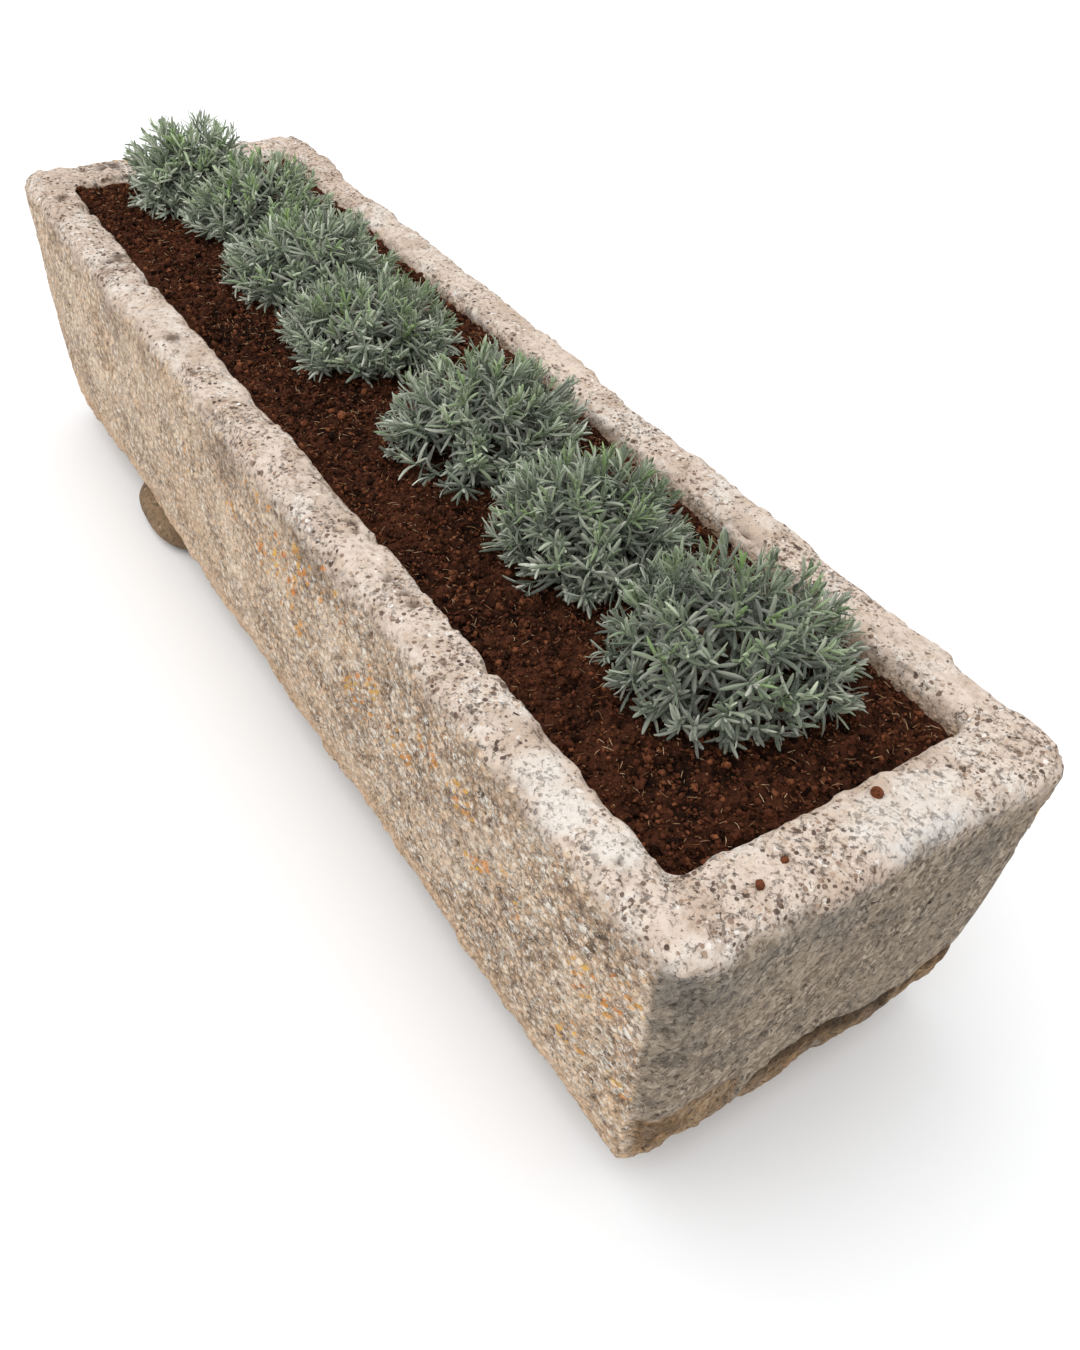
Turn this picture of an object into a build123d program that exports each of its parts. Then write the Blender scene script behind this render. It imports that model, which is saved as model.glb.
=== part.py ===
from build123d import *
import os
from math import cos, hypot, pi, radians, sin, sqrt

os.makedirs("parts", exist_ok=True)

# A planted stone trough: a hewn block on four cobbles, with drainage, soil and a row of clipped lavenders.
# The origin is on the ground under the middle. +X is the end with the chipped foot, -Y the long side with
# the cobble that shows, +Z up. Sizes are in millimetres. A share is a fraction of a named size.

# Hewn block
trough_length = 2206
trough_width = 632
trough_height = 485
end_lean = 20
side_lean = 23
corner_radius = 58
rim_round = 19
rim_relief = 13
flank_wander = 8
foot_bevel_rise = 14
foot_bevel_run = 7
near_foot_rise = 60
near_foot_run = 12
belly_height_share = 0.45
belly_lean_share = 0.35
shoulder_turn_share = 0.3

# Hollow of the block
end_wall = 115
side_wall = 89
floor_thickness = 110
mouth_wear = 8
wall_draft = 16
hollow_corner_radius = 18
hollow_cove = 46
cove_turn_share = 0.3

# Drainage
drain_bore = 36
drain_place_shares = (-0.62, 0.0, 0.62)
crock_radius = 62
crock_thickness = 9
crock_length = 96
crock_half_angle = 52
gravel_depth = 78
fleece_thickness = 3

# Soil
soil_drop = 22
soil_fall = 27
soil_crown = 9
crown_margin = 70

# Cobbles under the block
support_height = 60
cobble_length = 290
cobble_width = 216
far_cobble_setback = 543
near_cobble_setback = 463
shown_cobble_setback = 120
hidden_cobble_gap = 64

# Lavenders
plant_place_shares = (-0.845, -0.690, -0.427, -0.167, 0.182, 0.474, 0.758)
plant_side_shares = (-0.12, 0.16, 0.10, 0.04, 0.13, 0.11, 0.19)
plant_girth_shares = (0.87, 0.92, 0.99, 0.965, 1.065, 0.92, 1.09)
plant_height_shares = (1.11, 0.93, 0.91, 0.89, 1.03, 1.03, 1.125)
mound_width = 282
mound_height = 128
mound_lift = 5
tuft_length = 26
tuft_upturn_share = 0.5
tuft_unevenness_share = 0.45
nest_width = 132
nest_height = 68
nest_taper = 5
ball_width = 132
ball_depth = 128
ball_taper = 6
trunk_width = 28
trunk_taper = 6
fork_height = 30
branch_width = 11
branch_reach = 44
branch_count = 6

# Fits and cuts
fit_clearance = 0.3
overrun = 40

# Facets
corner_steps = 3
hollow_corner_flats = 3
cobble_sides = 12
tufts_around = 20
ball_sides = 12
wood_sides = 6
crock_flats = 8

# Worked out from the sizes above
half_length = trough_length / 2
half_width = trough_width / 2
half_mouth_length = half_length - end_wall
half_mouth_width = half_width - side_wall
rim_level = support_height + trough_height
floor_level = support_height + floor_thickness
hollow_depth = trough_height - floor_thickness
fleece_base = gravel_depth
soil_base = fleece_base + fleece_thickness
soil_slope = soil_fall / (2 * half_mouth_length)
near_soil_edge = hollow_depth - soil_drop - soil_fall / 2 - soil_crown
foot_bevel = (foot_bevel_rise, foot_bevel_run)
near_foot = (near_foot_rise, near_foot_run)
golden_angle = 180 * (3 - sqrt(5))


def flat_face(*corners):
    return Face(Wire.make_polygon(corners, close=True))


def write_step(piece, name):
    piece.part.label = name
    export_step(piece.part, f"parts/{name}.step")


# Rows along the block from the far end to the near one: share of the half length, rise of the left and right
# rim as shares of the rim relief, and how far the left and right flank stand in as shares of the wander.
# The far end is raised as far as a step, with a nick behind it on the right.
flank_row_shares = (
    (-0.930, 0.15, 0.45, 0.55, 0.10),
    (-0.800, 0.35, 0.60, 0.10, 0.00),
    (-0.762, 0.00, -0.55, 0.45, 1.00),
    (-0.560, -0.30, 0.05, 0.75, 0.30),
    (-0.300, 0.15, -0.10, 0.00, 0.45),
    (-0.060, -0.20, 0.15, 0.35, 0.00),
    (0.190, 0.10, -0.15, 0.00, 0.35),
    (0.420, -0.25, 0.00, 0.60, 0.10),
    (0.640, 0.05, -0.20, 0.15, 0.50),
    (0.860, 0.00, 0.10, 0.30, 0.00),
)


def block_section(share, inset, rim_drop, foot_lift, rises, wanders):
    """Plane and outline across the block. The plane leans as the ends do, and heights in it are true."""
    shoulder = max(rises) * rim_relief + trough_height - rim_round
    lean = share * end_lean
    stretch = hypot(shoulder, lean) / shoulder
    bevel_rise, bevel_run = foot_bevel
    sides = []
    for rise, wander in zip(rises, wanders):
        out = half_width - inset - wander * flank_wander
        top = trough_height + rise * rim_relief
        arris = top - rim_round
        turn = shoulder_turn_share * rim_round
        belly = belly_height_share * trough_height
        sides.append([
            (out - side_lean - bevel_run, foot_lift),
            (out - side_lean, foot_lift + bevel_rise),
            (out - side_lean * belly_lean_share, belly),
            (out, arris),
            (out - turn, arris + max(rim_round - rim_drop - turn, 0)),
            (out - rim_round, arris + rim_round - rim_drop),
        ])
    left, right = sides
    points = [(-out, height * stretch) for out, height in left]
    points += [(out, height * stretch) for out, height in reversed(right)]
    place = (share * half_length - lean, 0, support_height)
    return Plane(origin=place, x_dir=(0, 1, 0), z_dir=(shoulder, 0, -lean)), points


def corner_section(end, step, row, end_bevel):
    """Section in the rounded corner of one end, from 0 where the corner starts to corner_steps at the end."""
    angle = radians(90 * step / corner_steps)
    distance = corner_radius * (1 - sin(angle))
    inset = corner_radius * (1 - cos(angle))
    rim_drop = rim_round - sqrt(rim_round**2 - max(rim_round - distance, 0) ** 2)
    bevel_rise, bevel_run = end_bevel
    foot_lift = bevel_rise * max(1 - distance / bevel_run, 0)
    share = end * (1 - distance / half_length)
    return block_section(share, inset, rim_drop, foot_lift, row[1:3], row[3:5])


def hollow_inset(height):
    """How far the wall of the hollow stands in from the mouth, at a height above the floor of the hollow."""
    cove_turn = cove_turn_share * hollow_cove
    neck = hollow_depth - mouth_wear
    steps = (
        (0, wall_draft + hollow_cove),
        (cove_turn, wall_draft + cove_turn),
        (hollow_cove, wall_draft),
        (neck, 0),
        (hollow_depth, -mouth_wear),
        (hollow_depth + overrun, -mouth_wear),
    )
    for (low, low_inset), (high, high_inset) in zip(steps, steps[1:]):
        if low <= height <= high:
            return low_inset + (high_inset - low_inset) * (height - low) / (high - low)


def hollow_outline(height, clearance=0, margin=0):
    """Outline of the hollow at a height above its floor. Its corners are flats along a quarter circle."""
    inset = hollow_inset(height) + clearance
    half_x = half_mouth_length - inset - margin
    half_y = half_mouth_width - inset - margin
    radius = hollow_corner_radius - clearance
    points = []
    for quarter, (side_x, side_y) in enumerate(((1, 1), (-1, 1), (-1, -1), (1, -1))):
        for step in range(hollow_corner_flats + 1):
            angle = radians(90 * (quarter + step / hollow_corner_flats))
            x = side_x * (half_x - radius) + radius * cos(angle)
            y = side_y * (half_y - radius) + radius * sin(angle)
            points.append((x, y))
    return points


def soil_level(x):
    """Level of the soil's crown at a place along the hollow. The soil is heaped towards the far end."""
    return rim_level - soil_drop - soil_slope * x


def hollow_levels(low, high):
    breaks = (cove_turn_share * hollow_cove, hollow_cove, hollow_depth - mouth_wear, hollow_depth)
    return [low] + [level for level in breaks if low < level < high] + [high]


# Trough body
far_row, near_row = flank_row_shares[0], flank_row_shares[-1]
block_sections = [corner_section(-1, step, far_row, foot_bevel) for step in range(corner_steps, 0, -1)]
block_sections += [block_section(row[0], 0, 0, 0, row[1:3], row[3:5]) for row in flank_row_shares]
block_sections += [corner_section(1, step, near_row, near_foot) for step in range(1, corner_steps + 1)]
with BuildPart() as trough_body:
    for plane, outline in block_sections:
        with BuildSketch(plane):
            with BuildLine():
                Polyline(*outline, close=True)
            make_face()
    loft(ruled=True)
    for level in hollow_levels(0, hollow_depth + overrun):
        with BuildSketch(Plane.XY.offset(floor_level + level)):
            with BuildLine():
                Polyline(*hollow_outline(level), close=True)
            make_face()
    loft(ruled=True, mode=Mode.SUBTRACT)
    with BuildSketch(Plane.XY.offset(floor_level + overrun)):
        with Locations([(share * half_mouth_length, 0) for share in drain_place_shares]):
            Circle(drain_bore / 2)
    extrude(amount=-floor_thickness - 2 * overrun, mode=Mode.SUBTRACT)
write_step(trough_body, "trough_body")


# Cobbles: height and girth shares from the bed to the seat, and the swell of the outline
cobble_girth_shares = ((0, 0.74), (0.22, 0.93), (0.5, 1.0), (0.8, 0.94), (1, 0.80))
cobble_swell_share = 0.05
far_cobble_x = far_cobble_setback - half_length
near_cobble_x = half_length - near_cobble_setback
shown_cobble_y = half_width - shown_cobble_setback
hidden_cobble_y = (hidden_cobble_gap + cobble_width) / 2
cobbles = (
    ("support_stone_far_left", far_cobble_x, -shown_cobble_y, 20),
    ("support_stone_far_right", far_cobble_x, hidden_cobble_y, 140),
    ("support_stone_near_left", near_cobble_x, -hidden_cobble_y, 250),
    ("support_stone_near_right", near_cobble_x, hidden_cobble_y, 75),
)


def cobble_solid(cobble_x, cobble_y, phase):
    """Rounded stone in small flats, with a level seat and a level bed."""
    rings = []
    for row, (height_share, girth_share) in enumerate(cobble_girth_shares):
        ring = []
        for side in range(cobble_sides):
            angle = 2 * pi * (side + row / 2) / cobble_sides
            swell = sin(2 * angle + radians(phase)) + sin(3 * angle + radians(2 * phase))
            girth = girth_share * (1 + cobble_swell_share * swell)
            x = cobble_x + cobble_length / 2 * girth * cos(angle)
            y = cobble_y + cobble_width / 2 * girth * sin(angle)
            ring.append(Vector(x, y, height_share * support_height))
        rings.append(ring)
    faces = [flat_face(*rings[0]), flat_face(*rings[-1])]
    for low, high in zip(rings, rings[1:]):
        for side in range(cobble_sides):
            faces.append(flat_face(low[side - 1], low[side], high[side - 1]))
            faces.append(flat_face(low[side], high[side], high[side - 1]))
    return Solid(Shell(faces))


for name, cobble_x, cobble_y, phase in cobbles:
    stone = cobble_solid(cobble_x, cobble_y, phase)
    with BuildPart() as cobble:
        add(stone)
    write_step(cobble, name)


def arch_points(radius):
    points = []
    for flat in range(crock_flats + 1):
        angle = radians(crock_half_angle * (2 * flat / crock_flats - 1))
        points.append((radius * sin(angle), radius * cos(angle)))
    return points


# Drain crocks: curved shards, hollow side down over the drains
crock_spring = (crock_radius - crock_thickness) * cos(radians(crock_half_angle))
for number, share in enumerate(drain_place_shares, start=1):
    shard_place = (share * half_mouth_length, crock_length / 2, floor_level - crock_spring)
    with BuildPart() as drain_crock:
        with BuildSketch(Plane(origin=shard_place, x_dir=(1, 0, 0), z_dir=(0, -1, 0))):
            outer = arch_points(crock_radius)
            inner = arch_points(crock_radius - crock_thickness)
            outer[0] = (outer[0][0], crock_spring)
            outer[-1] = (outer[-1][0], crock_spring)
            with BuildLine():
                Polyline(*outer, *reversed(inner), close=True)
            make_face()
        extrude(amount=crock_length)
    write_step(drain_crock, f"drain_crock_{number}")

# Drainage gravel, bedded round the crocks
with BuildPart() as drainage_gravel:
    for level in hollow_levels(0, gravel_depth):
        with BuildSketch(Plane.XY.offset(floor_level + level)):
            with BuildLine():
                Polyline(*hollow_outline(level, fit_clearance), close=True)
            make_face()
    loft(ruled=True)
    for share in drain_place_shares:
        pocket_end = crock_length / 2 + fit_clearance
        pocket_place = (share * half_mouth_length, pocket_end, floor_level - crock_spring)
        with BuildSketch(Plane(origin=pocket_place, x_dir=(1, 0, 0), z_dir=(0, -1, 0))):
            pocket = arch_points(crock_radius + fit_clearance)
            low = crock_spring - overrun
            with BuildLine():
                Polyline((pocket[0][0], low), *pocket, (pocket[-1][0], low), close=True)
            make_face()
        extrude(amount=2 * pocket_end, mode=Mode.SUBTRACT)
write_step(drainage_gravel, "drainage_gravel")

# Filter fleece
with BuildPart() as filter_fleece:
    for level in (fleece_base, soil_base):
        with BuildSketch(Plane.XY.offset(floor_level + level)):
            with BuildLine():
                Polyline(*hollow_outline(level, fit_clearance), close=True)
            make_face()
    loft(ruled=True)
write_step(filter_fleece, "filter_fleece")


def root_room(place, clearance=0, rise=0):
    """Tapered body of a root ball from the soil's level, or a rise above it, down in flat faces."""
    x, y = place
    level = soil_level(x)
    top_radius = ball_width / 2 + clearance + rise * sin(radians(ball_taper))
    foot_radius = ball_width / 2 + clearance - ball_depth * sin(radians(ball_taper))
    top, foot = [], []
    for side in range(ball_sides):
        angle = 2 * pi * side / ball_sides
        top.append(Vector(x + top_radius * cos(angle), y + top_radius * sin(angle), level + rise))
        foot.append(Vector(x + foot_radius * cos(angle), y + foot_radius * sin(angle), level - ball_depth))
    faces = [flat_face(*top), flat_face(*foot)]
    faces += [flat_face(foot[side - 1], foot[side], top[side], top[side - 1]) for side in range(ball_sides)]
    return Solid(Shell(faces))


# Potting soil: crowned along the middle and falling to the near end, with a pocket for each root ball
plant_places = []
for place_share, side_share in zip(plant_place_shares, plant_side_shares):
    plant_places.append((place_share * half_mouth_length, side_share * half_mouth_width))
with BuildPart() as potting_soil:
    for level in hollow_levels(soil_base, near_soil_edge)[:-1]:
        with BuildSketch(Plane.XY.offset(floor_level + level)):
            with BuildLine():
                Polyline(*hollow_outline(level, fit_clearance), close=True)
            make_face()
    for drop, margin in ((soil_crown, 0), (0, crown_margin)):
        soil_middle = (0, 0, soil_level(0) - drop)
        with BuildSketch(Plane(origin=soil_middle, x_dir=(1, 0, -soil_slope), z_dir=(soil_slope, 0, 1))):
            with BuildLine():
                Polyline(*hollow_outline(near_soil_edge, fit_clearance, margin), close=True)
            make_face()
    loft(ruled=True)
    for place in plant_places:
        add(root_room(place, fit_clearance, soil_crown), mode=Mode.SUBTRACT)
write_step(potting_soil, "potting_soil")

# Root balls
for number, place in enumerate(plant_places, start=1):
    with BuildPart() as root_ball:
        add(root_room(place))
    write_step(root_ball, f"root_ball_{number}")

# Woody stems: a short trunk that forks into branches under the leaves
for number, place in enumerate(plant_places, start=1):
    trunk_level = soil_level(place[0])
    branch_level = trunk_level + fork_height - branch_width
    branch_rise = mound_lift + nest_height - fork_height + branch_width
    with BuildPart() as woody_stems:
        with BuildSketch(Plane.XY.offset(trunk_level)):
            with Locations(place):
                RegularPolygon(trunk_width / 2, wood_sides)
        extrude(amount=fork_height, taper=trunk_taper)
        branches = []
        for branch in range(branch_count):
            angle = radians(360 * branch / branch_count + golden_angle * number)
            way = Vector(branch_reach * cos(angle), branch_reach * sin(angle), branch_rise)
            with BuildSketch(Plane.XY.offset(branch_level), mode=Mode.PRIVATE) as root:
                with Locations(place):
                    RegularPolygon(branch_width / 2, wood_sides)
            branches.append(extrude(root.sketch, amount=way.length, dir=way, mode=Mode.PRIVATE))
        add(branches)
    write_step(woody_stems, f"woody_stems_{number}")

# Foliage: height and girth shares of the leafy mound from its skirt to its crown
mound_girth_shares = (
    (0, 0.80), (0.13, 0.93), (0.28, 1.0), (0.44, 0.99), (0.60, 0.91), (0.75, 0.77), (0.89, 0.54), (1, 0.24)
)
rim_top = rim_level + rim_relief + fit_clearance


def tufted_mound(place, width, height, turn):
    """Leafy mound: a pointed tuft on every cell of a net of points, each turned up like a young shoot."""
    x, y = place
    core = Vector(x, y, soil_level(x) + mound_lift)
    rings = []
    for row, (height_share, girth_share) in enumerate(mound_girth_shares):
        ring = []
        for tuft in range(tufts_around):
            angle = radians(360 * (tuft + row / 2) / tufts_around + turn)
            reach = girth_share * width / 2
            ring.append(core + Vector(reach * cos(angle), reach * sin(angle), height_share * height))
        rings.append(ring)
    faces = [flat_face(*rings[0])]
    for low, high in zip(rings, rings[1:]):
        for tuft in range(tufts_around):
            following = (tuft + 1) % tufts_around
            cell = (low[tuft], low[following], high[tuft], high[tuft - 1])
            middle = (cell[0] + cell[1] + cell[2] + cell[3]) / 4
            aim = ((middle - core).normalized() + Vector(0, 0, tuft_upturn_share)).normalized()
            unevenness = tuft_unevenness_share * abs(sin(golden_angle * (tuft + len(faces))))
            tip = middle + aim * tuft_length * (1 - unevenness)
            faces += [flat_face(cell[side - 1], cell[side], tip) for side in range(len(cell))]
    crown = core + Vector(0, 0, height + tuft_length / 2)
    faces += [flat_face(rings[-1][tuft - 1], rings[-1][tuft], crown) for tuft in range(tufts_around)]
    return Solid(Shell(faces))


def mound_room(number, width):
    """Room of a mound along the row: half-way to each neighbour, or a mound's width out at the ends."""
    x = plant_places[number][0]
    room = []
    for step in (-1, 1):
        if 0 <= number + step < len(plant_places):
            halfway = (x + plant_places[number + step][0]) / 2
            room.append(halfway - step * fit_clearance / 2)
        else:
            room.append(x + step * width)
    return room


wall_inset = hollow_inset(near_soil_edge) + fit_clearance
clear_length = 2 * (half_mouth_length - wall_inset)
clear_width = 2 * (half_mouth_width - wall_inset)
for number, place in enumerate(plant_places):
    width = mound_width * plant_girth_shares[number]
    height = mound_height * plant_height_shares[number]
    mound_base = soil_level(place[0]) + mound_lift
    room_start, room_end = mound_room(number, width)
    mound = tufted_mound(place, width, height, golden_angle * number)
    with BuildPart() as foliage:
        # Room between the neighbours, over the rim and round the stems
        with BuildSketch(Plane.XY.offset(mound_base)):
            with Locations(((room_start + room_end) / 2, place[1])):
                Rectangle(room_end - room_start, 2 * width)
        extrude(amount=height + overrun)
        with BuildSketch(Plane.XY.offset(rim_top)):
            Rectangle(2 * trough_length, 2 * trough_width)
            Rectangle(clear_length, clear_width, mode=Mode.SUBTRACT)
        extrude(amount=mound_base - rim_top, mode=Mode.SUBTRACT)
        with BuildSketch(Plane.XY.offset(mound_base)):
            with Locations(place):
                RegularPolygon(nest_width / 2, ball_sides)
        extrude(amount=nest_height, taper=nest_taper, mode=Mode.SUBTRACT)
        add(mound, mode=Mode.INTERSECT)
    write_step(foliage, f"foliage_{number + 1}")
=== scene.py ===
import math
from itertools import product
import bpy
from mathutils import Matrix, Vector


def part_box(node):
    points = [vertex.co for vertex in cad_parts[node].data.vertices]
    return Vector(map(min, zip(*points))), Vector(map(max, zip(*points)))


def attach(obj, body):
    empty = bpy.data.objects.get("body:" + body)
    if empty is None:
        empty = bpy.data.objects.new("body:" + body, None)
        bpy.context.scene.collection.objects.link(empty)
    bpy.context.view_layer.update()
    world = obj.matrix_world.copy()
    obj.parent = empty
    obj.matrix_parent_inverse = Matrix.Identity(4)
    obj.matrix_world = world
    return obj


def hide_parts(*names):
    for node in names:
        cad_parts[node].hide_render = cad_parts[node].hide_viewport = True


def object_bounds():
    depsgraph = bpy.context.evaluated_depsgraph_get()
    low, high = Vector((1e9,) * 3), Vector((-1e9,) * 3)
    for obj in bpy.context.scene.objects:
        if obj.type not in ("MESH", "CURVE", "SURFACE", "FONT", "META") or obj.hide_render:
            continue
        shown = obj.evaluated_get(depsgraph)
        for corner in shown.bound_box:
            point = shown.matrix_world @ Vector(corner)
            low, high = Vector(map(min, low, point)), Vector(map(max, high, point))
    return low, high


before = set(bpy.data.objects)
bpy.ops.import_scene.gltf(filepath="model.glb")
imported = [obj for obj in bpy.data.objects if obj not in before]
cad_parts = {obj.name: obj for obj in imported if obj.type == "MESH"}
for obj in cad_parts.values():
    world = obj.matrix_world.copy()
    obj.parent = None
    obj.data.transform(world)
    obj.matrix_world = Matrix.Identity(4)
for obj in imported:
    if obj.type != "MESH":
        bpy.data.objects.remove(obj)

from types import SimpleNamespace

import bmesh
import bpy
import numpy as np
from mathutils import Matrix, Vector
from mathutils.bvhtree import BVHTree
from mathutils.geometry import delaunay_2d_cdt

cad_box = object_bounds()

# Sizes of the block, in metres
block_low, block_high = np.array(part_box("trough_body"))
half_length = block_high[0]
half_width = block_high[1]
ground_gap = block_low[2]
rim_level = 0.545
rim_round = 0.019
corner_radius = 0.058
end_lean = 0.020
side_lean = 0.023
foot_rise = 0.014
foot_run = 0.007
mouth_wear = 0.008
mouth_half_length = 0.988
mouth_half_width = 0.227
hollow_corner = 0.018
hollow_floor = 0.170
hollow_cove = 0.046
wall_draft = 0.016
drain_radius = 0.018
drain_places = [share * mouth_half_length for share in (-0.62, 0.0, 0.62)]

# Sizes of the filling and the plants
soil_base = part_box("potting_soil")[0][2]
soil_drop = 0.022
soil_fall = 0.027
soil_crown = 0.009
crown_margin = 0.070
plant_numbers = range(1, 8)
plant_places = [(np.add(*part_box(f"root_ball_{number}")) / 2)[:2] for number in plant_numbers]
golden_angle = math.pi * (3 - math.sqrt(5))


def soil_level(x):
    """Level of the soil's crown at a place along the hollow. The soil is heaped towards the far end."""
    return rim_level - soil_drop - soil_fall * x / (2 * mouth_half_length)


# Colour and random helpers

def srgb(red, green, blue):
    """Linear colour from the 0 to 255 values that a picture shows."""
    parts = [value / 255 for value in (red, green, blue)]
    return np.array([((part + 0.055) / 1.055) ** 2.4 if part > 0.04045 else part / 12.92 for part in parts])


def between(first, second, share):
    """What lies at a share of the way from the first value to the second."""
    return first + (second - first) * share


def hash_bits(cells, seed):
    """Steady pseudo-random whole numbers for rows of whole numbers."""
    mixed = np.full(cells.shape[:-1], seed * 7919 + 17, dtype=np.uint32)
    for axis, prime in enumerate((374761393, 668265263, 2246822519)):
        mixed ^= cells[..., axis].astype(np.int64).astype(np.uint32) * np.uint32(prime)
        mixed = (mixed ^ (mixed >> np.uint32(15))) * np.uint32(2654435761)
        mixed ^= mixed >> np.uint32(13)
    return mixed


def turn_matrix(seed):
    return np.array(Matrix.Rotation(1.3 * seed + 0.7, 3, Vector((0.3, 1.0, 0.6))))


def noise(points, wavelength, seed):
    """Smooth noise from -1 to 1 at points, with lumps about a wavelength apart."""
    turned = points @ turn_matrix(seed) / wavelength
    corner = np.floor(turned)
    part = turned - corner
    ease = part * part * part * (part * (part * 6 - 15) + 10)
    cells = corner.astype(np.int64)
    total = np.zeros(len(points))
    for dx, dy, dz in product((0, 1), repeat=3):
        weight = np.abs(1 - dx - ease[:, 0]) * np.abs(1 - dy - ease[:, 1]) * np.abs(1 - dz - ease[:, 2])
        total += weight * hash_bits(cells + np.array((dx, dy, dz)), seed) / 2.0**32
    return total * 2 - 1


def layered(points, wavelength, octaves, seed):
    """Noise with finer layers on it, each half as wide and half as strong."""
    total = np.zeros(len(points))
    scale = 0
    for octave in range(octaves):
        total += noise(points, wavelength / 2**octave, seed + 31 * octave) / 2**octave
        scale += 1 / 2**octave
    return total / scale


def cellular(points, spacing, seed):
    """Distance to the nearest of scattered points, in spacings, and a random value that belongs to it."""
    scaled = points / spacing
    cells = np.floor(scaled).astype(np.int64)
    nearest = np.full(len(points), 9.0)
    owner = np.zeros(len(points))
    for offset in product((-1, 0, 1), repeat=3):
        cell = cells + np.array(offset)
        bits = hash_bits(cell, seed)
        spot = np.stack([(bits >> np.uint32(10 * n)) & np.uint32(1023) for n in range(3)], axis=1) / 1023
        distance = np.linalg.norm(cell + spot - scaled, axis=1)
        closer = distance < nearest
        nearest[closer] = distance[closer]
        owner[closer] = ((bits[closer] * np.uint32(2246822519)) >> np.uint32(8)) / 2.0**24
    return nearest, owner


def eased(low, high, value):
    """0 up to low and 1 from high on, eased between. It falls instead where high is below low."""
    share = np.clip((value - low) / (high - low), 0, 1)
    return share * share * (3 - 2 * share)


def peak(value, centre, width):
    """1 at the centre, falling off to both sides within about a width."""
    return np.exp(-(((value - centre) / width) ** 2))


def patchy(points, wavelength, seed, low, high):
    """Patches of noise, from 0 where the noise is low to 1 where it is high."""
    return eased(low, high, noise(points, wavelength, seed))


def flaked(points, wavelength, octaves, seed, lift=0.0):
    """Flakes of layered noise with nothing between them. Lift makes them wider."""
    return np.clip(layered(points, wavelength, octaves, seed) + lift, 0, 1)


def unit(vectors):
    return vectors / np.maximum(np.linalg.norm(vectors, axis=-1, keepdims=True), 1e-9)


def random_turns(rng, count):
    """Rotation matrices spread evenly over all turns."""
    w, x, y, z = unit(rng.normal(size=(count, 4))).T
    rows = [
        [1 - 2 * (y * y + z * z), 2 * (x * y - z * w), 2 * (x * z + y * w)],
        [2 * (x * y + z * w), 1 - 2 * (x * x + z * z), 2 * (y * z - x * w)],
        [2 * (x * z - y * w), 2 * (y * z + x * w), 1 - 2 * (x * x + y * y)],
    ]
    return np.array(rows).transpose(2, 0, 1)


# Mesh helpers

def in_scene(name, data):
    """New object that is linked to the scene."""
    made = bpy.data.objects.new(name, data)
    bpy.context.scene.collection.objects.link(made)
    return made


def new_piece(name, vertices, face_groups, material, smooth=True, **colours):
    """Mesh object in the row frame. Each group of faces is an array with a row of corners for each face."""
    mesh = bpy.data.meshes.new(name)
    mesh.vertices.add(len(vertices))
    mesh.vertices.foreach_set("co", np.asarray(vertices, dtype=np.float32).ravel())
    groups = [np.asarray(group, dtype=np.int32) for group in face_groups if len(group)]
    corners = np.concatenate([group.ravel() for group in groups])
    sizes = np.concatenate([np.full(len(group), group.shape[1], dtype=np.int32) for group in groups])
    starts = np.concatenate([[0], np.cumsum(sizes)[:-1]]).astype(np.int32)
    mesh.loops.add(len(corners))
    mesh.loops.foreach_set("vertex_index", corners)
    mesh.polygons.add(len(sizes))
    mesh.polygons.foreach_set("loop_start", starts)
    mesh.update(calc_edges=True)
    mesh.validate()
    if smooth:
        mesh.polygons.foreach_set("use_smooth", np.ones(len(mesh.polygons), dtype=bool))
    for key, values in colours.items():
        layer = mesh.color_attributes.new(key, "FLOAT_COLOR", "POINT")
        rgba = np.ones((len(mesh.vertices), 4), dtype=np.float32)
        rgba[:, :3] = values
        layer.data.foreach_set("color", rgba.ravel())
    mesh.materials.append(material)
    return in_scene(name, mesh)


def belongs(piece, slot, *nodes):
    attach(piece, "root")
    if nodes:
        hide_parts(*nodes)


def ring_pattern(long_cells, short_cells, corner_cells):
    """Shares that place the points of a rounded rectangle: corner x and y, and the way out x and y."""
    rows = []
    for quarter, (side_x, side_y) in enumerate(((1, 1), (-1, 1), (-1, -1), (1, -1))):
        for step in range(corner_cells):
            angle = math.pi / 2 * (quarter + step / corner_cells)
            rows.append((side_x, side_y, math.cos(angle), math.sin(angle)))
        angle = math.pi / 2 * (quarter + 1)
        along = quarter % 2 == 0
        cells = long_cells if along else short_cells
        for step in range(cells):
            share = 1 - 2 * step / cells
            place = (side_x * share, side_y) if along else (side_x, side_y * share)
            rows.append((*place, math.cos(angle), math.sin(angle)))
    return np.array(rows)


def ring_grid(pattern, profile):
    """Grid of rings from rows of half length, half width, corner radius and height."""
    corner_x, corner_y, out_x, out_y = pattern.T
    rings = []
    for half_x, half_y, radius, height in profile:
        x = corner_x * (half_x - radius) + out_x * radius
        y = corner_y * (half_y - radius) + out_y * radius
        rings.append(np.stack([x, y, np.full(len(x), height)], axis=1))
    return np.array(rings)


def stretch(profile, target, cells, ease=1.0):
    """Adds rows to a profile, from its last row to the target."""
    start = np.array(profile[-1])
    for step in range(1, cells + 1):
        profile.append(tuple(between(start, np.array(target), (step / cells) ** ease)))


def grid_faces(rings, around):
    index = np.arange(rings * around).reshape(rings, around)
    low, high = index[:-1], index[1:]
    return np.stack([low, np.roll(low, -1, 1), np.roll(high, -1, 1), high], axis=2).reshape(-1, 4)


def closed_faces(rings, around):
    """Faces between rings of points, with one face over the first ring and one over the last."""
    index = np.arange(around)
    return [grid_faces(rings, around), index[::-1][None], (index + (rings - 1) * around)[None]]


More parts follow.
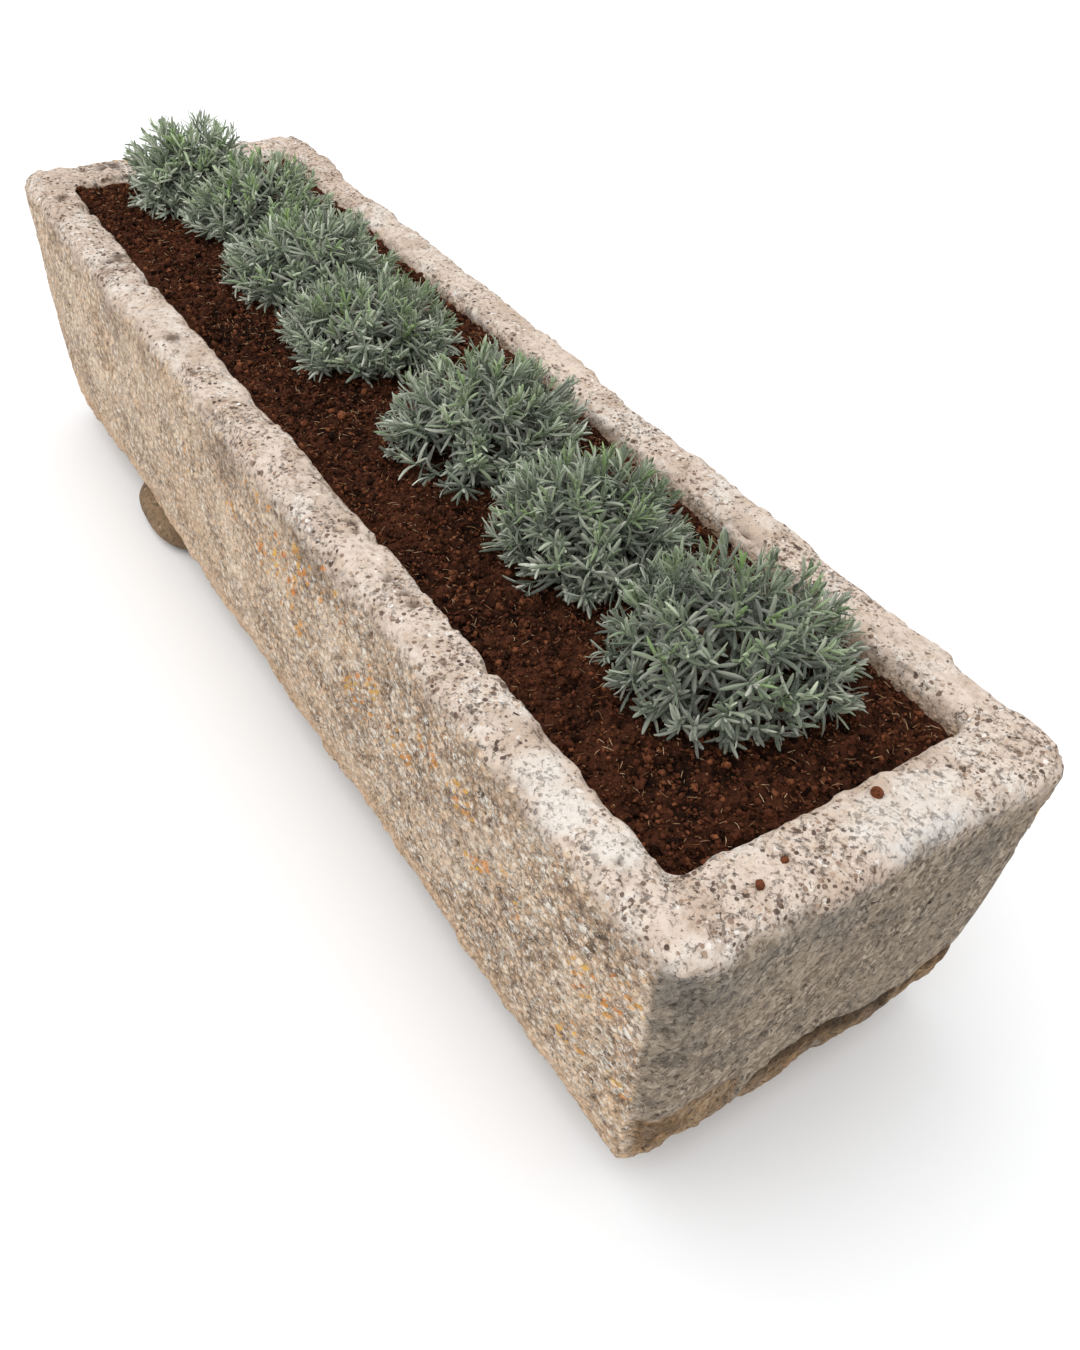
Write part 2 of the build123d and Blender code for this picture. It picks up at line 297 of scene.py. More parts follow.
def repeated(groups, count, size):
    """Groups of faces of one shape for a number of copies, each with its own points."""
    starts = (np.arange(count) * size)[:, None, None]
    return [(group[None] + starts).reshape(-1, group.shape[1]) for group in groups]


def smoothed(grid, rounds):
    """Grid with each inner ring drawn towards its neighbours."""
    for _ in range(rounds):
        around = (np.roll(grid, 1, 1) + np.roll(grid, -1, 1)) / 2
        across = grid.copy()
        across[1:-1] = (grid[:-2] + grid[2:]) / 2
        grid = grid / 2 + (around + across) / 4
    return grid


def grid_normals(grid):
    along = np.roll(grid, -1, 1) - np.roll(grid, 1, 1)
    across = np.gradient(grid, axis=0)
    return unit(np.cross(along, across))


def node_surface(node):
    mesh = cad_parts[node].data
    corners = [vertex.co.copy() for vertex in mesh.vertices]
    return BVHTree.FromPolygons(corners, [tuple(face.vertices) for face in mesh.polygons])


def snapped(points, surface):
    nearest = [surface.find_nearest(Vector(point))[0] for point in points.reshape(-1, 3)]
    return np.array([tuple(point) for point in nearest]).reshape(points.shape)


def ball_shape(subdivisions):
    """Corners and triangles of a ball of radius 1."""
    shape = bmesh.new()
    bmesh.ops.create_icosphere(shape, subdivisions=subdivisions, radius=1)
    corners = np.array([tuple(v.co) for v in shape.verts])
    triangles = np.array([[v.index for v in face.verts] for face in shape.faces])
    shape.free()
    return corners, triangles


def scattered(shape, places, turns, scales):
    """One copy of a shape at each place, turned and scaled."""
    corners, triangles = shape
    moved = np.einsum("nij,nkj->nki", turns, corners[None] * scales[:, None, :]) + places[:, None, :]
    return moved.reshape(-1, 3), repeated([triangles], len(places), len(corners))


# Material helpers

class Shader:
    """A procedural material under construction."""

    colour_a, colour_b, colour_out = 6, 7, 2

    def __init__(self, name, roughness, shine=0.3):
        self.material = bpy.data.materials.new(name)
        self.material.use_nodes = True
        self.tree = self.material.node_tree
        self.surface = self.tree.nodes["Principled BSDF"]
        self.surface.inputs["Roughness"].default_value = roughness
        self.surface.inputs["Specular IOR Level"].default_value = shine
        self.place = self.add("ShaderNodeTexCoord").outputs["Object"]

    def feed(self, target, value):
        """Links a socket to an input, or sets the input to a value."""
        if isinstance(value, bpy.types.NodeSocket):
            self.tree.links.new(value, target)
        elif target.type == "RGBA":
            target.default_value = (*value, 1)
        else:
            target.default_value = value

    def add(self, kind, inputs=None, **settings):
        """New node with its settings made and its inputs fed."""
        made = self.tree.nodes.new(kind)
        for key, value in settings.items():
            setattr(made, key, value)
        for key, value in (inputs or {}).items():
            self.feed(made.inputs[key], value)
        return made

    def stretched(self, scale, turn, place=None):
        """Coordinates turned about Y by an angle in degrees, then scaled along each axis."""
        inputs = {"Vector": place or self.place, "Angle": math.radians(turn)}
        turned = self.add("ShaderNodeVectorRotate", inputs, rotation_type="Y_AXIS").outputs["Vector"]
        return self.add("ShaderNodeMapping", {"Vector": turned, "Scale": scale}).outputs["Vector"]

    def noise(self, scale, detail=4, roughness=0.55, distortion=0.0, place=None, output="Fac"):
        inputs = {"Scale": scale, "Detail": detail, "Roughness": roughness, "Distortion": distortion}
        return self.add("ShaderNodeTexNoise", {"Vector": place or self.place, **inputs}).outputs[output]

    def cells(self, scale, output="Distance", place=None):
        inputs = {"Vector": place or self.place, "Scale": scale}
        return self.add("ShaderNodeTexVoronoi", inputs).outputs[output]

    def wobbled(self, scale, amount):
        """Coordinates shifted by noise, so that cells get uneven edges."""
        inputs = {0: self.noise(scale, 2, 0.5, output="Color"), 1: (amount, amount, amount), 2: self.place}
        return self.add("ShaderNodeVectorMath", inputs, operation="MULTIPLY_ADD").outputs["Vector"]

    def ramp(self, value, low, high, start=0.0, end=1.0):
        """Value mapped from low..high to start..end and held there."""
        inputs = {"Value": value, "From Min": low, "From Max": high, "To Min": start, "To Max": end}
        return self.add("ShaderNodeMapRange", inputs, clamp=True).outputs["Result"]

    def math(self, operation, first, second):
        return self.add("ShaderNodeMath", {0: first, 1: second}, operation=operation).outputs[0]

    def minus(self, first, second):
        return self.math("SUBTRACT", first, second)

    def times(self, product, *factors):
        for factor in factors:
            product = self.math("MULTIPLY", product, factor)
        return product

    def heaped(self, *layers):
        """Sum of layers, given as rows of a value and its strength."""
        total = 0
        for value, strength in layers:
            total = self.math("ADD", total, self.times(value, strength))
        return total

    def frayed(self, mask, value, amount, low, high):
        """Mask with an edge that noise makes uneven."""
        return self.ramp(self.heaped((mask, 1), (self.minus(value, 0.5), amount)), low, high)

    def palette(self, value, stops):
        """Colour from rows of a share and the colour that a picture shows there."""
        ramp = self.add("ShaderNodeValToRGB", {"Fac": value})
        elements = ramp.color_ramp.elements
        while len(elements) < len(stops):
            elements.new(1.0)
        for element, (share, *colour) in zip(elements, stops):
            element.position = share
            element.color = (*srgb(*colour), 1)
        return ramp.outputs["Color"]

    def mosaic(self, place, scale, smallest, largest, chosen):
        """Fragments set in a ground: mask of the chosen ones, and a random value that belongs to each."""
        soft_edge, soft_choice = 0.08, 0.02
        red, green, blue = self.split(self.cells(scale, "Color", place))
        reach = self.ramp(green, 0, 1, smallest, largest)
        mask = self.ramp(self.minus(reach, self.cells(scale, place=place)), 0, soft_edge)
        return self.times(mask, self.ramp(self.minus(chosen, blue), 0, soft_choice)), red

    def mix(self, share, first, second):
        inputs = {"Factor": share, self.colour_a: first, self.colour_b: second}
        return self.add("ShaderNodeMix", inputs, data_type="RGBA").outputs[self.colour_out]

    def tinted(self, colour, *tints):
        """Colour with tints laid over it, in rows: a value, the range it is read over, the tint's shares at
        both ends of the range, the tint and its masks."""
        for value, low, high, start, end, tint, *masks in tints:
            share = self.times(self.ramp(value, low, high, start, end), *masks)
            colour = self.mix(share, colour, tint if isinstance(tint, bpy.types.NodeSocket) else srgb(*tint))
        return colour

    def attribute(self, name):
        return self.add("ShaderNodeAttribute", attribute_name=name).outputs["Color"]

    def split(self, colour):
        return self.add("ShaderNodeSeparateColor", {0: colour}).outputs[:3]

    def finished(self, colour, roughness, height, distance, strength=1.0):
        """The material, with its colour, roughness and relief."""
        bump = self.add("ShaderNodeBump", {"Height": height, "Distance": distance, "Strength": strength})
        self.feed(self.surface.inputs["Base Color"], colour)
        self.feed(self.surface.inputs["Roughness"], roughness)
        self.feed(self.surface.inputs["Normal"], bump.outputs["Normal"])
        return self.material


class Limestone(Shader):
    """Old limestone: pale rim with dark specks, flanks bedded with shell and grit, orange lichen."""

    shells = (
        (0, 84, 66, 54), (0.07, 122, 100, 80), (0.15, 164, 138, 114), (0.30, 208, 172, 138),
        (0.50, 230, 194, 158), (0.68, 238, 210, 180), (0.82, 250, 236, 216), (1, 255, 250, 240),
    )
    strokes = (
        (0, 84, 74, 64), (0.16, 124, 110, 96), (0.4, 160, 143, 124), (0.75, 184, 167, 147),
        (1, 222, 206, 188),
    )
    chips = (
        (0, 70, 54, 48), (0.24, 112, 90, 78), (0.48, 164, 136, 116), (0.72, 214, 188, 166),
        (1, 254, 250, 244),
    )

    def __init__(self):
        super().__init__("weathered_limestone", 0.9, 0.2)
        self.cavity, self.rim, self.foot = self.split(self.attribute("tone"))
        self.lichen, self.stain, self.smudge_and_shade = self.split(self.attribute("marks"))
        self.near_end, self.soil_mark, self.streak = self.split(self.attribute("zones"))
        self.pale, self.crowd, self.warm = self.split(self.attribute("patches"))
        self.broad = self.noise(4.5, 5, 0.6)
        self.cloud = self.noise(9, 5, 0.65)
        self.middle = self.noise(17, 6, 0.62)
        self.fine = self.noise(85, 5, 0.65)
        self.speck = self.noise(115, 5, 0.75, 0.4)
        self.fleck = self.noise(185, 4, 0.7, 0.4)
        self.grain = self.noise(330, 3, 0.6)
        self.gathered = self.math("MAXIMUM", self.crowd, self.ramp(self.noise(8, 4, 0.6), 0.44, 0.62))
        self.near_speck = self.heaped((self.speck, 1), (self.gathered, 0.05))

    def flank(self):
        """Colour of the warm bedded stone, and its fragments as rows of a layer and how far it stands out."""
        bedding = (1, 1, 1.4)
        bedded = self.stretched(bedding, 45, self.wobbled(120, 0.0050))
        shell_lot = self.split(self.cells(74, "Color", bedded))[0]
        shell_gap = self.ramp(self.cells(74, place=bedded), 0.44, 0.62)
        gritty = self.stretched(bedding, 45, self.wobbled(240, 0.0026))
        grit_mask, grit_lot = self.mosaic(gritty, 140, 0.3, 0.8, 0.66)
        grit_gap = self.ramp(self.cells(140, place=gritty), 0.42, 0.62)
        lively = self.ramp(self.crowd, 0, 1, 0.5, 1)
        colour = self.tinted(
            srgb(255, 232, 206),
            (self.broad, 0.36, 0.64, 0, 1, (240, 210, 180)),
            (self.noise(6.5, 5, 0.7), 0.50, 0.64, 0, 0.45, (222, 178, 124)),
            (self.cloud, 0.36, 0.56, 0.3, 1.0, self.palette(shell_lot, self.shells), lively),
            (self.middle, 0.40, 0.56, 0.2, 0.95, self.palette(grit_lot, self.shells), grit_mask, lively),
            (self.cloud, 0.34, 0.60, 0.2, 0.6, (128, 104, 84), shell_gap),
            (self.speck, 0.585, 0.64, 0, 0.8, (88, 70, 56)),
            (self.fleck, 0.56, 0.61, 0, 0.95, (255, 250, 242), lively),
            (self.cloud, 0.56, 0.72, 0, 0.35, (150, 134, 118)),
            (self.middle, 0.3, 0.6, 0.85, 0.45, (230, 192, 154), self.warm),
        )
        return colour, ((shell_lot, 0.35), (shell_gap, -0.55), (grit_mask, 0.3), (grit_gap, -0.15))

    def near_face_with_shade(self):
        """Greyer stone of the near end, darkened partly as painted shade because the end faces away from the
        lamp, drawn in strokes, over a brown broken foot.
        """
        drawn = self.stretched((1, 1.3, 0.9), 0, self.wobbled(150, 0.005))
        stroke_lot = self.split(self.cells(125, "Color", drawn))[2]
        ledge = self.tinted(
            srgb(200, 162, 118),
            (self.middle, 0.38, 0.60, 0, 1, (126, 98, 66)),
            (self.fine, 0.46, 0.60, 0, 0.6, (92, 72, 50)),
            (self.speck, 0.56, 0.64, 0, 0.8, (58, 44, 32)),
        )
        return self.tinted(
            srgb(182, 163, 142),
            (self.broad, 0.38, 0.62, 0, 1, (160, 147, 130)),
            (self.cloud, 0.36, 0.60, 0.25, 0.8, self.palette(stroke_lot, self.strokes)),
            (self.middle, 0.50, 0.66, 0, 0.65, (118, 110, 100)),
            (self.speck, 0.58, 0.64, 0, 0.85, (66, 56, 48)),
            (self.fleck, 0.60, 0.66, 0, 0.6, (220, 208, 192)),
            (self.cloud, 0.36, 0.56, 1.0, 0.65, ledge, self.frayed(self.foot, self.fine, 1.5, 0.3, 0.7)),
        )

    def rim_top(self):
        """Pale stone of the rim, with chips of two sizes and dark specks that gather in places."""
        colour = self.tinted(
            srgb(232, 216, 202),
            (self.broad, 0.38, 0.62, 0, 1, (218, 198, 181)),
            (self.cloud, 0.48, 0.62, 0, 0.65, (246, 240, 232)),
            (self.middle, 0.46, 0.60, 0, 0.7, (200, 176, 156)),
            (self.fine, 0.52, 0.66, 0, 0.55, (176, 152, 134)),
        )
        busy = self.ramp(self.gathered, 0, 1, 0.26, 0.86)
        for scale, wobble, least, most in ((74, (95, 0.0085), 0.05, 0.42), (135, (300, 0.0026), 0.12, 0.58)):
            chip_mask, chip_lot = self.mosaic(self.wobbled(*wobble), scale, least, most, busy)
            colour = self.tinted(colour, (chip_mask, 0, 1, 0, 0.92, self.palette(chip_lot, self.chips)))
        return self.tinted(
            colour,
            (self.near_speck, 0.62, 0.67, 0, 0.75, (122, 102, 90)),
            (self.heaped((self.fleck, 1), (self.gathered, 0.05)), 0.64, 0.68, 0, 0.85, (74, 62, 56)),
            (self.fine, 0.40, 0.62, 0.9, 0.5, (242, 236, 228), self.pale),
            (self.streak, 0, 1, 0, 0.38, (214, 219, 221)),
        )

    def weathered(self):
        """The whole stone, with smudges and painted shade under the near end's rim, painted shade in its
        hollows, dark growths on the rim, the stain, the soil's mark and lichen.
        """
        flank, fragments = self.flank()
        # The near end is darker and greyer, partly as painted shade because it faces away from the lamp
        side = self.mix(self.near_end, flank, self.near_face_with_shade())
        # Smudges take a darker tint, bluish grey on the near end, where it is painted shade under the rim
        shadowed = self.mix(self.near_end, srgb(140, 120, 102), srgb(104, 106, 102))
        side = self.tinted(side, (self.middle, 0.34, 0.58, 0.2, 0.8, shadowed, self.smudge_and_shade))
        on_rim = self.frayed(self.rim, self.middle, 2.2, 0.25, 0.85)
        wall = self.tinted(srgb(206, 176, 152), (self.speck, 0.44, 0.60, 0, 1, (140, 108, 86)))
        rounder = self.stretched((0.9, 1, 2.0), 45, self.wobbled(95, 0.006))
        spotted, spot_lot = self.mosaic(rounder, 52, 0.28, 0.70, self.ramp(self.lichen, 0, 1, 0, 0.65))
        rust = self.mix(spot_lot, srgb(246, 194, 84), srgb(226, 134, 52))
        colour = self.tinted(
            self.mix(on_rim, side, self.rim_top()),
            # Painted shade in pits, dents and the crevice, darker on the near end, together with the rim's
            # dark growths
            (self.cavity, 0, 1, 0, 0.85, self.mix(self.near_end, srgb(86, 68, 56), srgb(62, 46, 32))),
            (self.stain, 0, 1, 0, 0.8, (128, 92, 66)),
            (self.fine, 0.3, 0.6, 0.7, 0.95, wall, self.soil_mark),
            (self.fine, 0.3, 0.55, 0.95, 0.6, rust, spotted),
            (self.grain, 0.3, 0.7, 0, 0.12, (124, 106, 90)),
        )
        on_side = self.ramp(on_rim, 0, 1, 1, 0.15)
        relief = self.heaped(
            (self.fine, 0.8), (self.grain, 0.35), (self.middle, 0.6),
            (self.ramp(self.near_speck, 0.58, 0.68), -0.5),
            *((self.times(layer, on_side), strength) for layer, strength in fragments),
        )
        return self.finished(colour, self.ramp(self.fine, 0.3, 0.7, 0.82, 0.96), relief, 0.0034)


def cobblestone():
    stone = Shader("brown_cobble", 0.85)
    broad = stone.noise(9, 4)
    fine = stone.noise(120, 5, 0.65)
    uneven = stone.wobbled(90, 0.006)
    chosen = stone.ramp(stone.split(stone.cells(70, "Color", uneven))[0], 0.30, 0.32, 1, 0)
    colour = stone.tinted(
        srgb(150, 124, 96),
        (broad, 0.35, 0.65, 0, 1, (112, 92, 70)),
        (fine, 0.50, 0.66, 0, 0.8, (70, 56, 42)),
        (stone.cells(70, place=uneven), 0.15, 0.3, 0.5, 0, (196, 176, 150), chosen),
    )
    relief = stone.heaped((fine, 1), (broad, 0.5))
    return stone.finished(colour, stone.ramp(broad, 0.3, 0.7, 0.7, 0.9), relief, 0.003, 0.8)


def crumbly_soil(name, with_tone):
    """Damp peat and bark compost."""
    soil = Shader(name, 0.95, 0.08)
    fine = soil.noise(230, 5, 0.7)
    grain = soil.noise(520, 3, 0.65)
    colour = soil.tinted(
        soil.attribute("tone") if with_tone else srgb(76, 45, 30),
        # Near-black flecks, painted shade that stands for the gaps between crumbs
        (fine, 0.50, 0.62, 0, 0.6, (20, 10, 6)),
        (fine, 0.42, 0.32, 0, 0.4, (122, 76, 48)),
        (grain, 0.62, 0.72, 0, 0.6, (160, 110, 76)),
    )
    relief = soil.heaped((grain, 0.4), (fine, -1))
    return soil.finished(colour, soil.ramp(fine, 0.3, 0.7, 0.85, 1.0), relief, 0.0030)


def lavender_leaf():
    """Narrow leaf with a fine grey felt, over the colour that each leaf carries."""
    leaf = Shader("lavender_leaf", 0.62, 0.25)
    fine = leaf.noise(420, 3, 0.6)
    colour = leaf.tinted(leaf.attribute("tone"), (fine, 0.40, 0.75, 0, 0.22, (196, 202, 190)))
    leaf.surface.inputs["Sheen Weight"].default_value = 0.25
    leaf.surface.inputs["Sheen Roughness"].default_value = 0.4
    return leaf.finished(colour, leaf.ramp(fine, 0.3, 0.7, 0.52, 0.72), fine, 0.0004, 0.6)


def woody_bark():
    bark = Shader("lavender_bark", 0.9)
    strips = bark.noise(1.0, 5, 0.6, place=bark.stretched((260, 260, 60), 0))
    colour = bark.tinted(srgb(120, 100, 80), (strips, 0.4, 0.6, 0, 1, (84, 66, 50)))
    return bark.finished(colour, bark.ramp(strips, 0.3, 0.7, 0.8, 0.97), strips, 0.002, 0.9)


def washed_gravel():
    gravel = Shader("washed_gravel", 0.8)
    place = gravel.wobbled(60, 0.004)
    pebble = gravel.cells(75, place=place)
    shade = gravel.split(gravel.cells(75, "Color", place))[0]
    colour = gravel.mix(shade, srgb(150, 142, 130), srgb(196, 180, 156))
    # Painted shade between the pebbles
    colour = gravel.tinted(colour, (pebble, 0.42, 0.7, 0, 0.85, (60, 52, 46)))
    relief = gravel.ramp(pebble, 0, 0.7, 1, 0)
    return gravel.finished(colour, gravel.ramp(shade, 0, 1, 0.65, 0.85), relief, 0.006)


def fired_clay():
    clay = Shader("unglazed_clay", 0.85)
    broad = clay.noise(22, 4)
    fine = clay.noise(240, 4, 0.6)
    colour = clay.tinted(
        srgb(186, 104, 70),
        (broad, 0.35, 0.65, 0, 1, (164, 86, 56)),
        (fine, 0.56, 0.72, 0, 0.5, (206, 150, 118)),
    )
    return clay.finished(colour, clay.ramp(broad, 0.3, 0.7, 0.78, 0.92), fine, 0.0008, 0.7)


def needled_fleece():
    fleece = Shader("needled_fleece", 0.95)
    fibre = fleece.noise(1.0, 5, 0.7, 1.5, place=fleece.stretched((420, 180, 300), 15))
    colour = fleece.tinted(srgb(206, 205, 200), (fibre, 0.38, 0.62, 0, 1, (176, 174, 168)))
    return fleece.finished(colour, fleece.ramp(fibre, 0.3, 0.7, 0.9, 1.0), fibre, 0.0008, 0.8)


# Camera at the photograph's angle, for a picture of 1080 by 1350 pixels
picture_height = 1350
focal_pixels = 1220.9
camera_azimuth = math.radians(53.0)
camera_elevation = math.radians(42.525)
camera_roll = math.radians(5.865)
camera_place = Vector((1.5412, -0.8454, 1.4863 + ground_gap))
back = Vector((
    math.sin(camera_azimuth) * math.cos(camera_elevation),
    -math.cos(camera_azimuth) * math.cos(camera_elevation),
    math.sin(camera_elevation),
))
side = (-back).cross(Vector((0, 0, 1))).normalized()
above = side.cross(-back)
right = side * math.cos(camera_roll) + above * math.sin(camera_roll)
up = above * math.cos(camera_roll) - side * math.sin(camera_roll)
camera_data = bpy.data.cameras.new("camera")
camera_data.sensor_fit = "VERTICAL"
camera_data.sensor_height = 36
camera_data.lens = focal_pixels / picture_height * camera_data.sensor_height
camera = in_scene("camera", camera_data)
camera.matrix_world = Matrix.Translation(camera_place) @ Matrix((right, up, back)).transposed().to_4x4()
bpy.context.scene.camera = camera

# Floor and light
bpy.context.scene.view_settings.view_transform = "Standard"
floor_shader = Shader("floor_paint", 0.9)
paper = floor_shader.mix(floor_shader.noise(3, 2), (0.80, 0.80, 0.80), (0.82, 0.82, 0.82))
rays = floor_shader.add("ShaderNodeLightPath").outputs
seen = floor_shader.math("MAXIMUM", rays["Is Camera Ray"], rays["Is Glossy Ray"])
backdrop = floor_shader.mix(seen, paper, (0.962, 0.972, 0.985))
floor_shader.feed(floor_shader.surface.inputs["Base Color"], backdrop)
reach = 14
floor_corners = [(-reach, -reach, 0), (reach, -reach, 0), (reach, reach, 0), (-reach, reach, 0)]
floor = new_piece("floor", floor_corners, [[(0, 1, 2, 3)]], floor_shader.material)
world = bpy.data.worlds.new("studio")
bpy.context.scene.world = world
world.use_nodes = True
world.node_tree.nodes["Background"].inputs["Color"].default_value = (1, 1, 1, 1)
world.node_tree.nodes["Background"].inputs["Strength"].default_value = 0.80

# One broad lamp from above
lamp = bpy.data.lights.new("key_light", "SUN")
lamp.energy = 1.4
lamp.angle = math.radians(75)
toward_lamp = Vector((-0.22, -0.42, 1.4))
in_scene("key_light", lamp).rotation_euler = toward_lamp.to_track_quat("Z", "Y").to_euler()


# Hewn block: counts of rings from the underside over the rim to the hollow, and the rings where parts start
block_cell = 0.005
cap_rings = 12
foot_rings = 3
flank_rings = round((rim_level - rim_round - ground_gap - foot_rise) / block_cell)
round_rings = 6
rim_rings = 14
wear_rings = 3
wall_rings = 11
foot_ring = cap_rings + foot_rings
arris_ring = foot_ring + flank_rings
rim_ring = arris_ring + round_rings
mouth_ring = rim_ring + rim_rings
wall_ring = mouth_ring + wear_rings
drain_sides = 24


def hollow_half(height):
    """Half length and half width of the hollow at a height above its cove."""
    neck = rim_level - mouth_wear
    draft = wall_draft * (neck - height) / (neck - hollow_floor - hollow_cove)
    return mouth_half_length - draft, mouth_half_width - draft


def block_profile():
    """Rows of half length, half width, corner radius and height, from the underside to the hollow's floor."""
    foot_x, foot_y = half_length - end_lean - foot_run, half_width - side_lean - foot_run
    cap_half_width, cap_radius = 0.032, 0.02
    profile = [(foot_x - foot_y + cap_half_width, cap_half_width, cap_radius, ground_gap)]
    stretch(profile, (foot_x, foot_y, 0.045, ground_gap), cap_rings, 0.6)
    over_foot = (half_length - end_lean, half_width - side_lean, 0.052, ground_gap + foot_rise)
    stretch(profile, over_foot, foot_rings)
    stretch(profile, (half_length, half_width, corner_radius, rim_level - rim_round), flank_rings)
    for step in range(1, round_rings + 1):
        angle = math.pi / 2 * step / round_rings
        inset = rim_round * (1 - math.cos(angle))
        height = rim_level - rim_round * (1 - math.sin(angle))
        profile.append((half_length - inset, half_width - inset, corner_radius - inset, height))
    worn_mouth = (mouth_half_length + mouth_wear, mouth_half_width + mouth_wear, hollow_corner, rim_level)
    stretch(profile, worn_mouth, rim_rings)
    stretch(profile, (mouth_half_length, mouth_half_width, hollow_corner, rim_level - mouth_wear), wear_rings)
    under_soil = 0.478
    stretch(profile, (*hollow_half(under_soil), hollow_corner, under_soil), wall_rings)
    cove_top = hollow_floor + hollow_cove
    low_x, low_y = hollow_half(cove_top)
    stretch(profile, (low_x, low_y, hollow_corner, cove_top), 12)
    turn = 0.3 * hollow_cove
    stretch(profile, (low_x - turn, low_y - turn, hollow_corner, hollow_floor + turn), 4)
    stretch(profile, (low_x - hollow_cove, low_y - hollow_cove, hollow_corner, hollow_floor), 4)
    stretch(profile, (low_x - low_y + cap_half_width, cap_half_width, cap_radius, hollow_floor), 6)
    return profile


def rim_rise(surface, points):
    """How far the rim stands above its level along the block, from its two long sides, at points."""
    station_count, rim_middle, above = 90, 0.045, 1
    stations = np.linspace(-half_length + rim_round, half_length - rim_round, station_count)
    rises = []
    for y in (-half_width + rim_middle, half_width - rim_middle):
        found = [surface.ray_cast(Vector((x, y, above)), Vector((0, 0, -1)))[0] for x in stations]
        rises.append(np.array([hit.z - rim_level if hit else 0 for hit in found]))
    left, right = (np.interp(points[..., 0], stations, rise) for rise in rises)
    share = np.clip(points[..., 1] / half_width, -1, 1) / 2 + 0.5
    return left * (1 - share) + right * share


def drained_cap(ring_points, height, ring_start, drain_start, facing):
    """The drains' points, and triangles from them to a ring. Both sets have the index they start at."""
    around = len(ring_points)
    angles = [2 * math.pi * step / drain_sides for step in range(drain_sides)]
    circles = [
        (place + drain_radius * math.cos(angle), drain_radius * math.sin(angle))
        for place in drain_places for angle in angles
    ]
    edges = []
    for base in range(around, around + len(circles), drain_sides):
        edges += [(base + step, base + (step + 1) % drain_sides) for step in range(drain_sides)]
    flat = [Vector(point[:2]) for point in ring_points] + [Vector(point) for point in circles]
    corners, _, faces, origins = delaunay_2d_cdt(flat, edges, [list(range(around))], 1, 1e-7)[:4]
    index = [same[0] + (ring_start if same[0] < around else drain_start - around) for same in origins]
    triangles = []
    for face in faces:
        middle = sum((corners[corner] for corner in face), Vector((0, 0))) / len(face)
        if all((middle - Vector((place, 0))).length > drain_radius * 0.98 for place in drain_places):
            triangles.append([index[corner] for corner in face][::facing])
    return np.array([(x, y, height) for x, y in circles]), np.array(triangles)


# Round marks as rows of two places and a reach: on the left flank along and up, on the rim along and across,
# on the near end across and up. The line of the crevice has places across and up.
lichen_patches = (
    (-0.05, 0.39, 0.05), (0.10, 0.39, 0.05), (0.22, 0.45, 0.06), (0.20, 0.34, 0.05), (0.40, 0.33, 0.06),
    (0.45, 0.40, 0.05), (0.52, 0.35, 0.045), (0.60, 0.41, 0.05), (0.70, 0.41, 0.05), (0.74, 0.33, 0.05),
    (0.80, 0.36, 0.04), (0.95, 0.37, 0.04), (1.01, 0.36, 0.05), (1.04, 0.43, 0.04), (0.95, 0.22, 0.05),
    (1.04, 0.23, 0.035),
)
far_lichen = ((-1.08, -0.09, 0.03),)
pale_patches = (
    (1.055, 0.02, 0.060), (1.05, 0.09, 0.055), (0.93, -0.262, 0.045), (0.86, -0.282, 0.045),
    (0.80, -0.275, 0.04),
)
speckled_patches = (
    (1.065, -0.21, 0.07), (1.01, -0.235, 0.05), (0.60, -0.25, 0.07), (0.45, -0.26, 0.08), (1.06, 0.20, 0.05),
    (0.0, -0.27, 0.09),
)
rim_pits = (
    (0.284, -0.247, 0.012), (0.305, -0.252, 0.009), (0.415, -0.262, 0.012), (0.474, -0.256, 0.014),
    (0.45, -0.255, 0.010), (-1.085, -0.19, 0.016), (-1.075, -0.15, 0.013), (-1.052, -0.185, 0.014),
    (-1.05, -0.15, 0.012), (-0.64, -0.274, 0.014), (-0.72, -0.271, 0.010), (1.035, -0.114, 0.008),
    (0.95, -0.27, 0.008),
)
dark_growths = (
    (-1.095, -0.195, 0.032), (-1.08, -0.16, 0.028), (-1.05, -0.13, 0.032), (-0.93, -0.275, 0.03),
    (-0.68, -0.272, 0.03), (-0.64, -0.247, 0.03), (-0.50, -0.268, 0.018), (-0.31, -0.278, 0.018),
)
mouth_nicks = ((-0.867, -0.232, 0.030), (-0.54, -0.232, 0.024), (0.33, -0.232, 0.020), (0.62, -0.232, 0.018))
end_nicks = ((0.086, 0.450, 0.010), (0.011, 0.443, 0.007), (-0.125, 0.281, 0.011), (-0.11, 0.289, 0.007))
crevice_line = (
    (-0.13, 0.100), (-0.10, 0.150), (-0.06, 0.168), (0.02, 0.176), (0.10, 0.158), (0.15, 0.150),
    (0.19, 0.166), (0.27, 0.186),
)


def patches_mask(first, second, patches, soft=0.35):
    """How far points lie in round patches: 1 in the middle and 0 from each one's reach on."""
    mask = np.zeros(len(first))
    for place, other, reach in patches:
        distance = np.hypot(first - place, second - other) / reach
        mask = np.maximum(mask, eased(1, soft, distance))
    return mask


def fitted_block():
    """Grid of rings on the surface of the CAD block. Its first and last ring stay flat for the caps."""
    corner_cells, smoothings, rise_start = 18, 5, 0.30
    halves = (half_length, half_width)
    long_cells, short_cells = (round(2 * (half - corner_radius) / block_cell) for half in halves)
    grid = ring_grid(ring_pattern(long_cells, short_cells, corner_cells), block_profile())
    surface = node_surface("trough_body")
    grid[..., 2] += rim_rise(surface, grid) * eased(rise_start, rim_level - rim_round, grid[..., 2])
    fitted = smoothed(snapped(grid, surface), smoothings)
    fitted[0], fitted[-1] = grid[0], grid[-1]
    return fitted


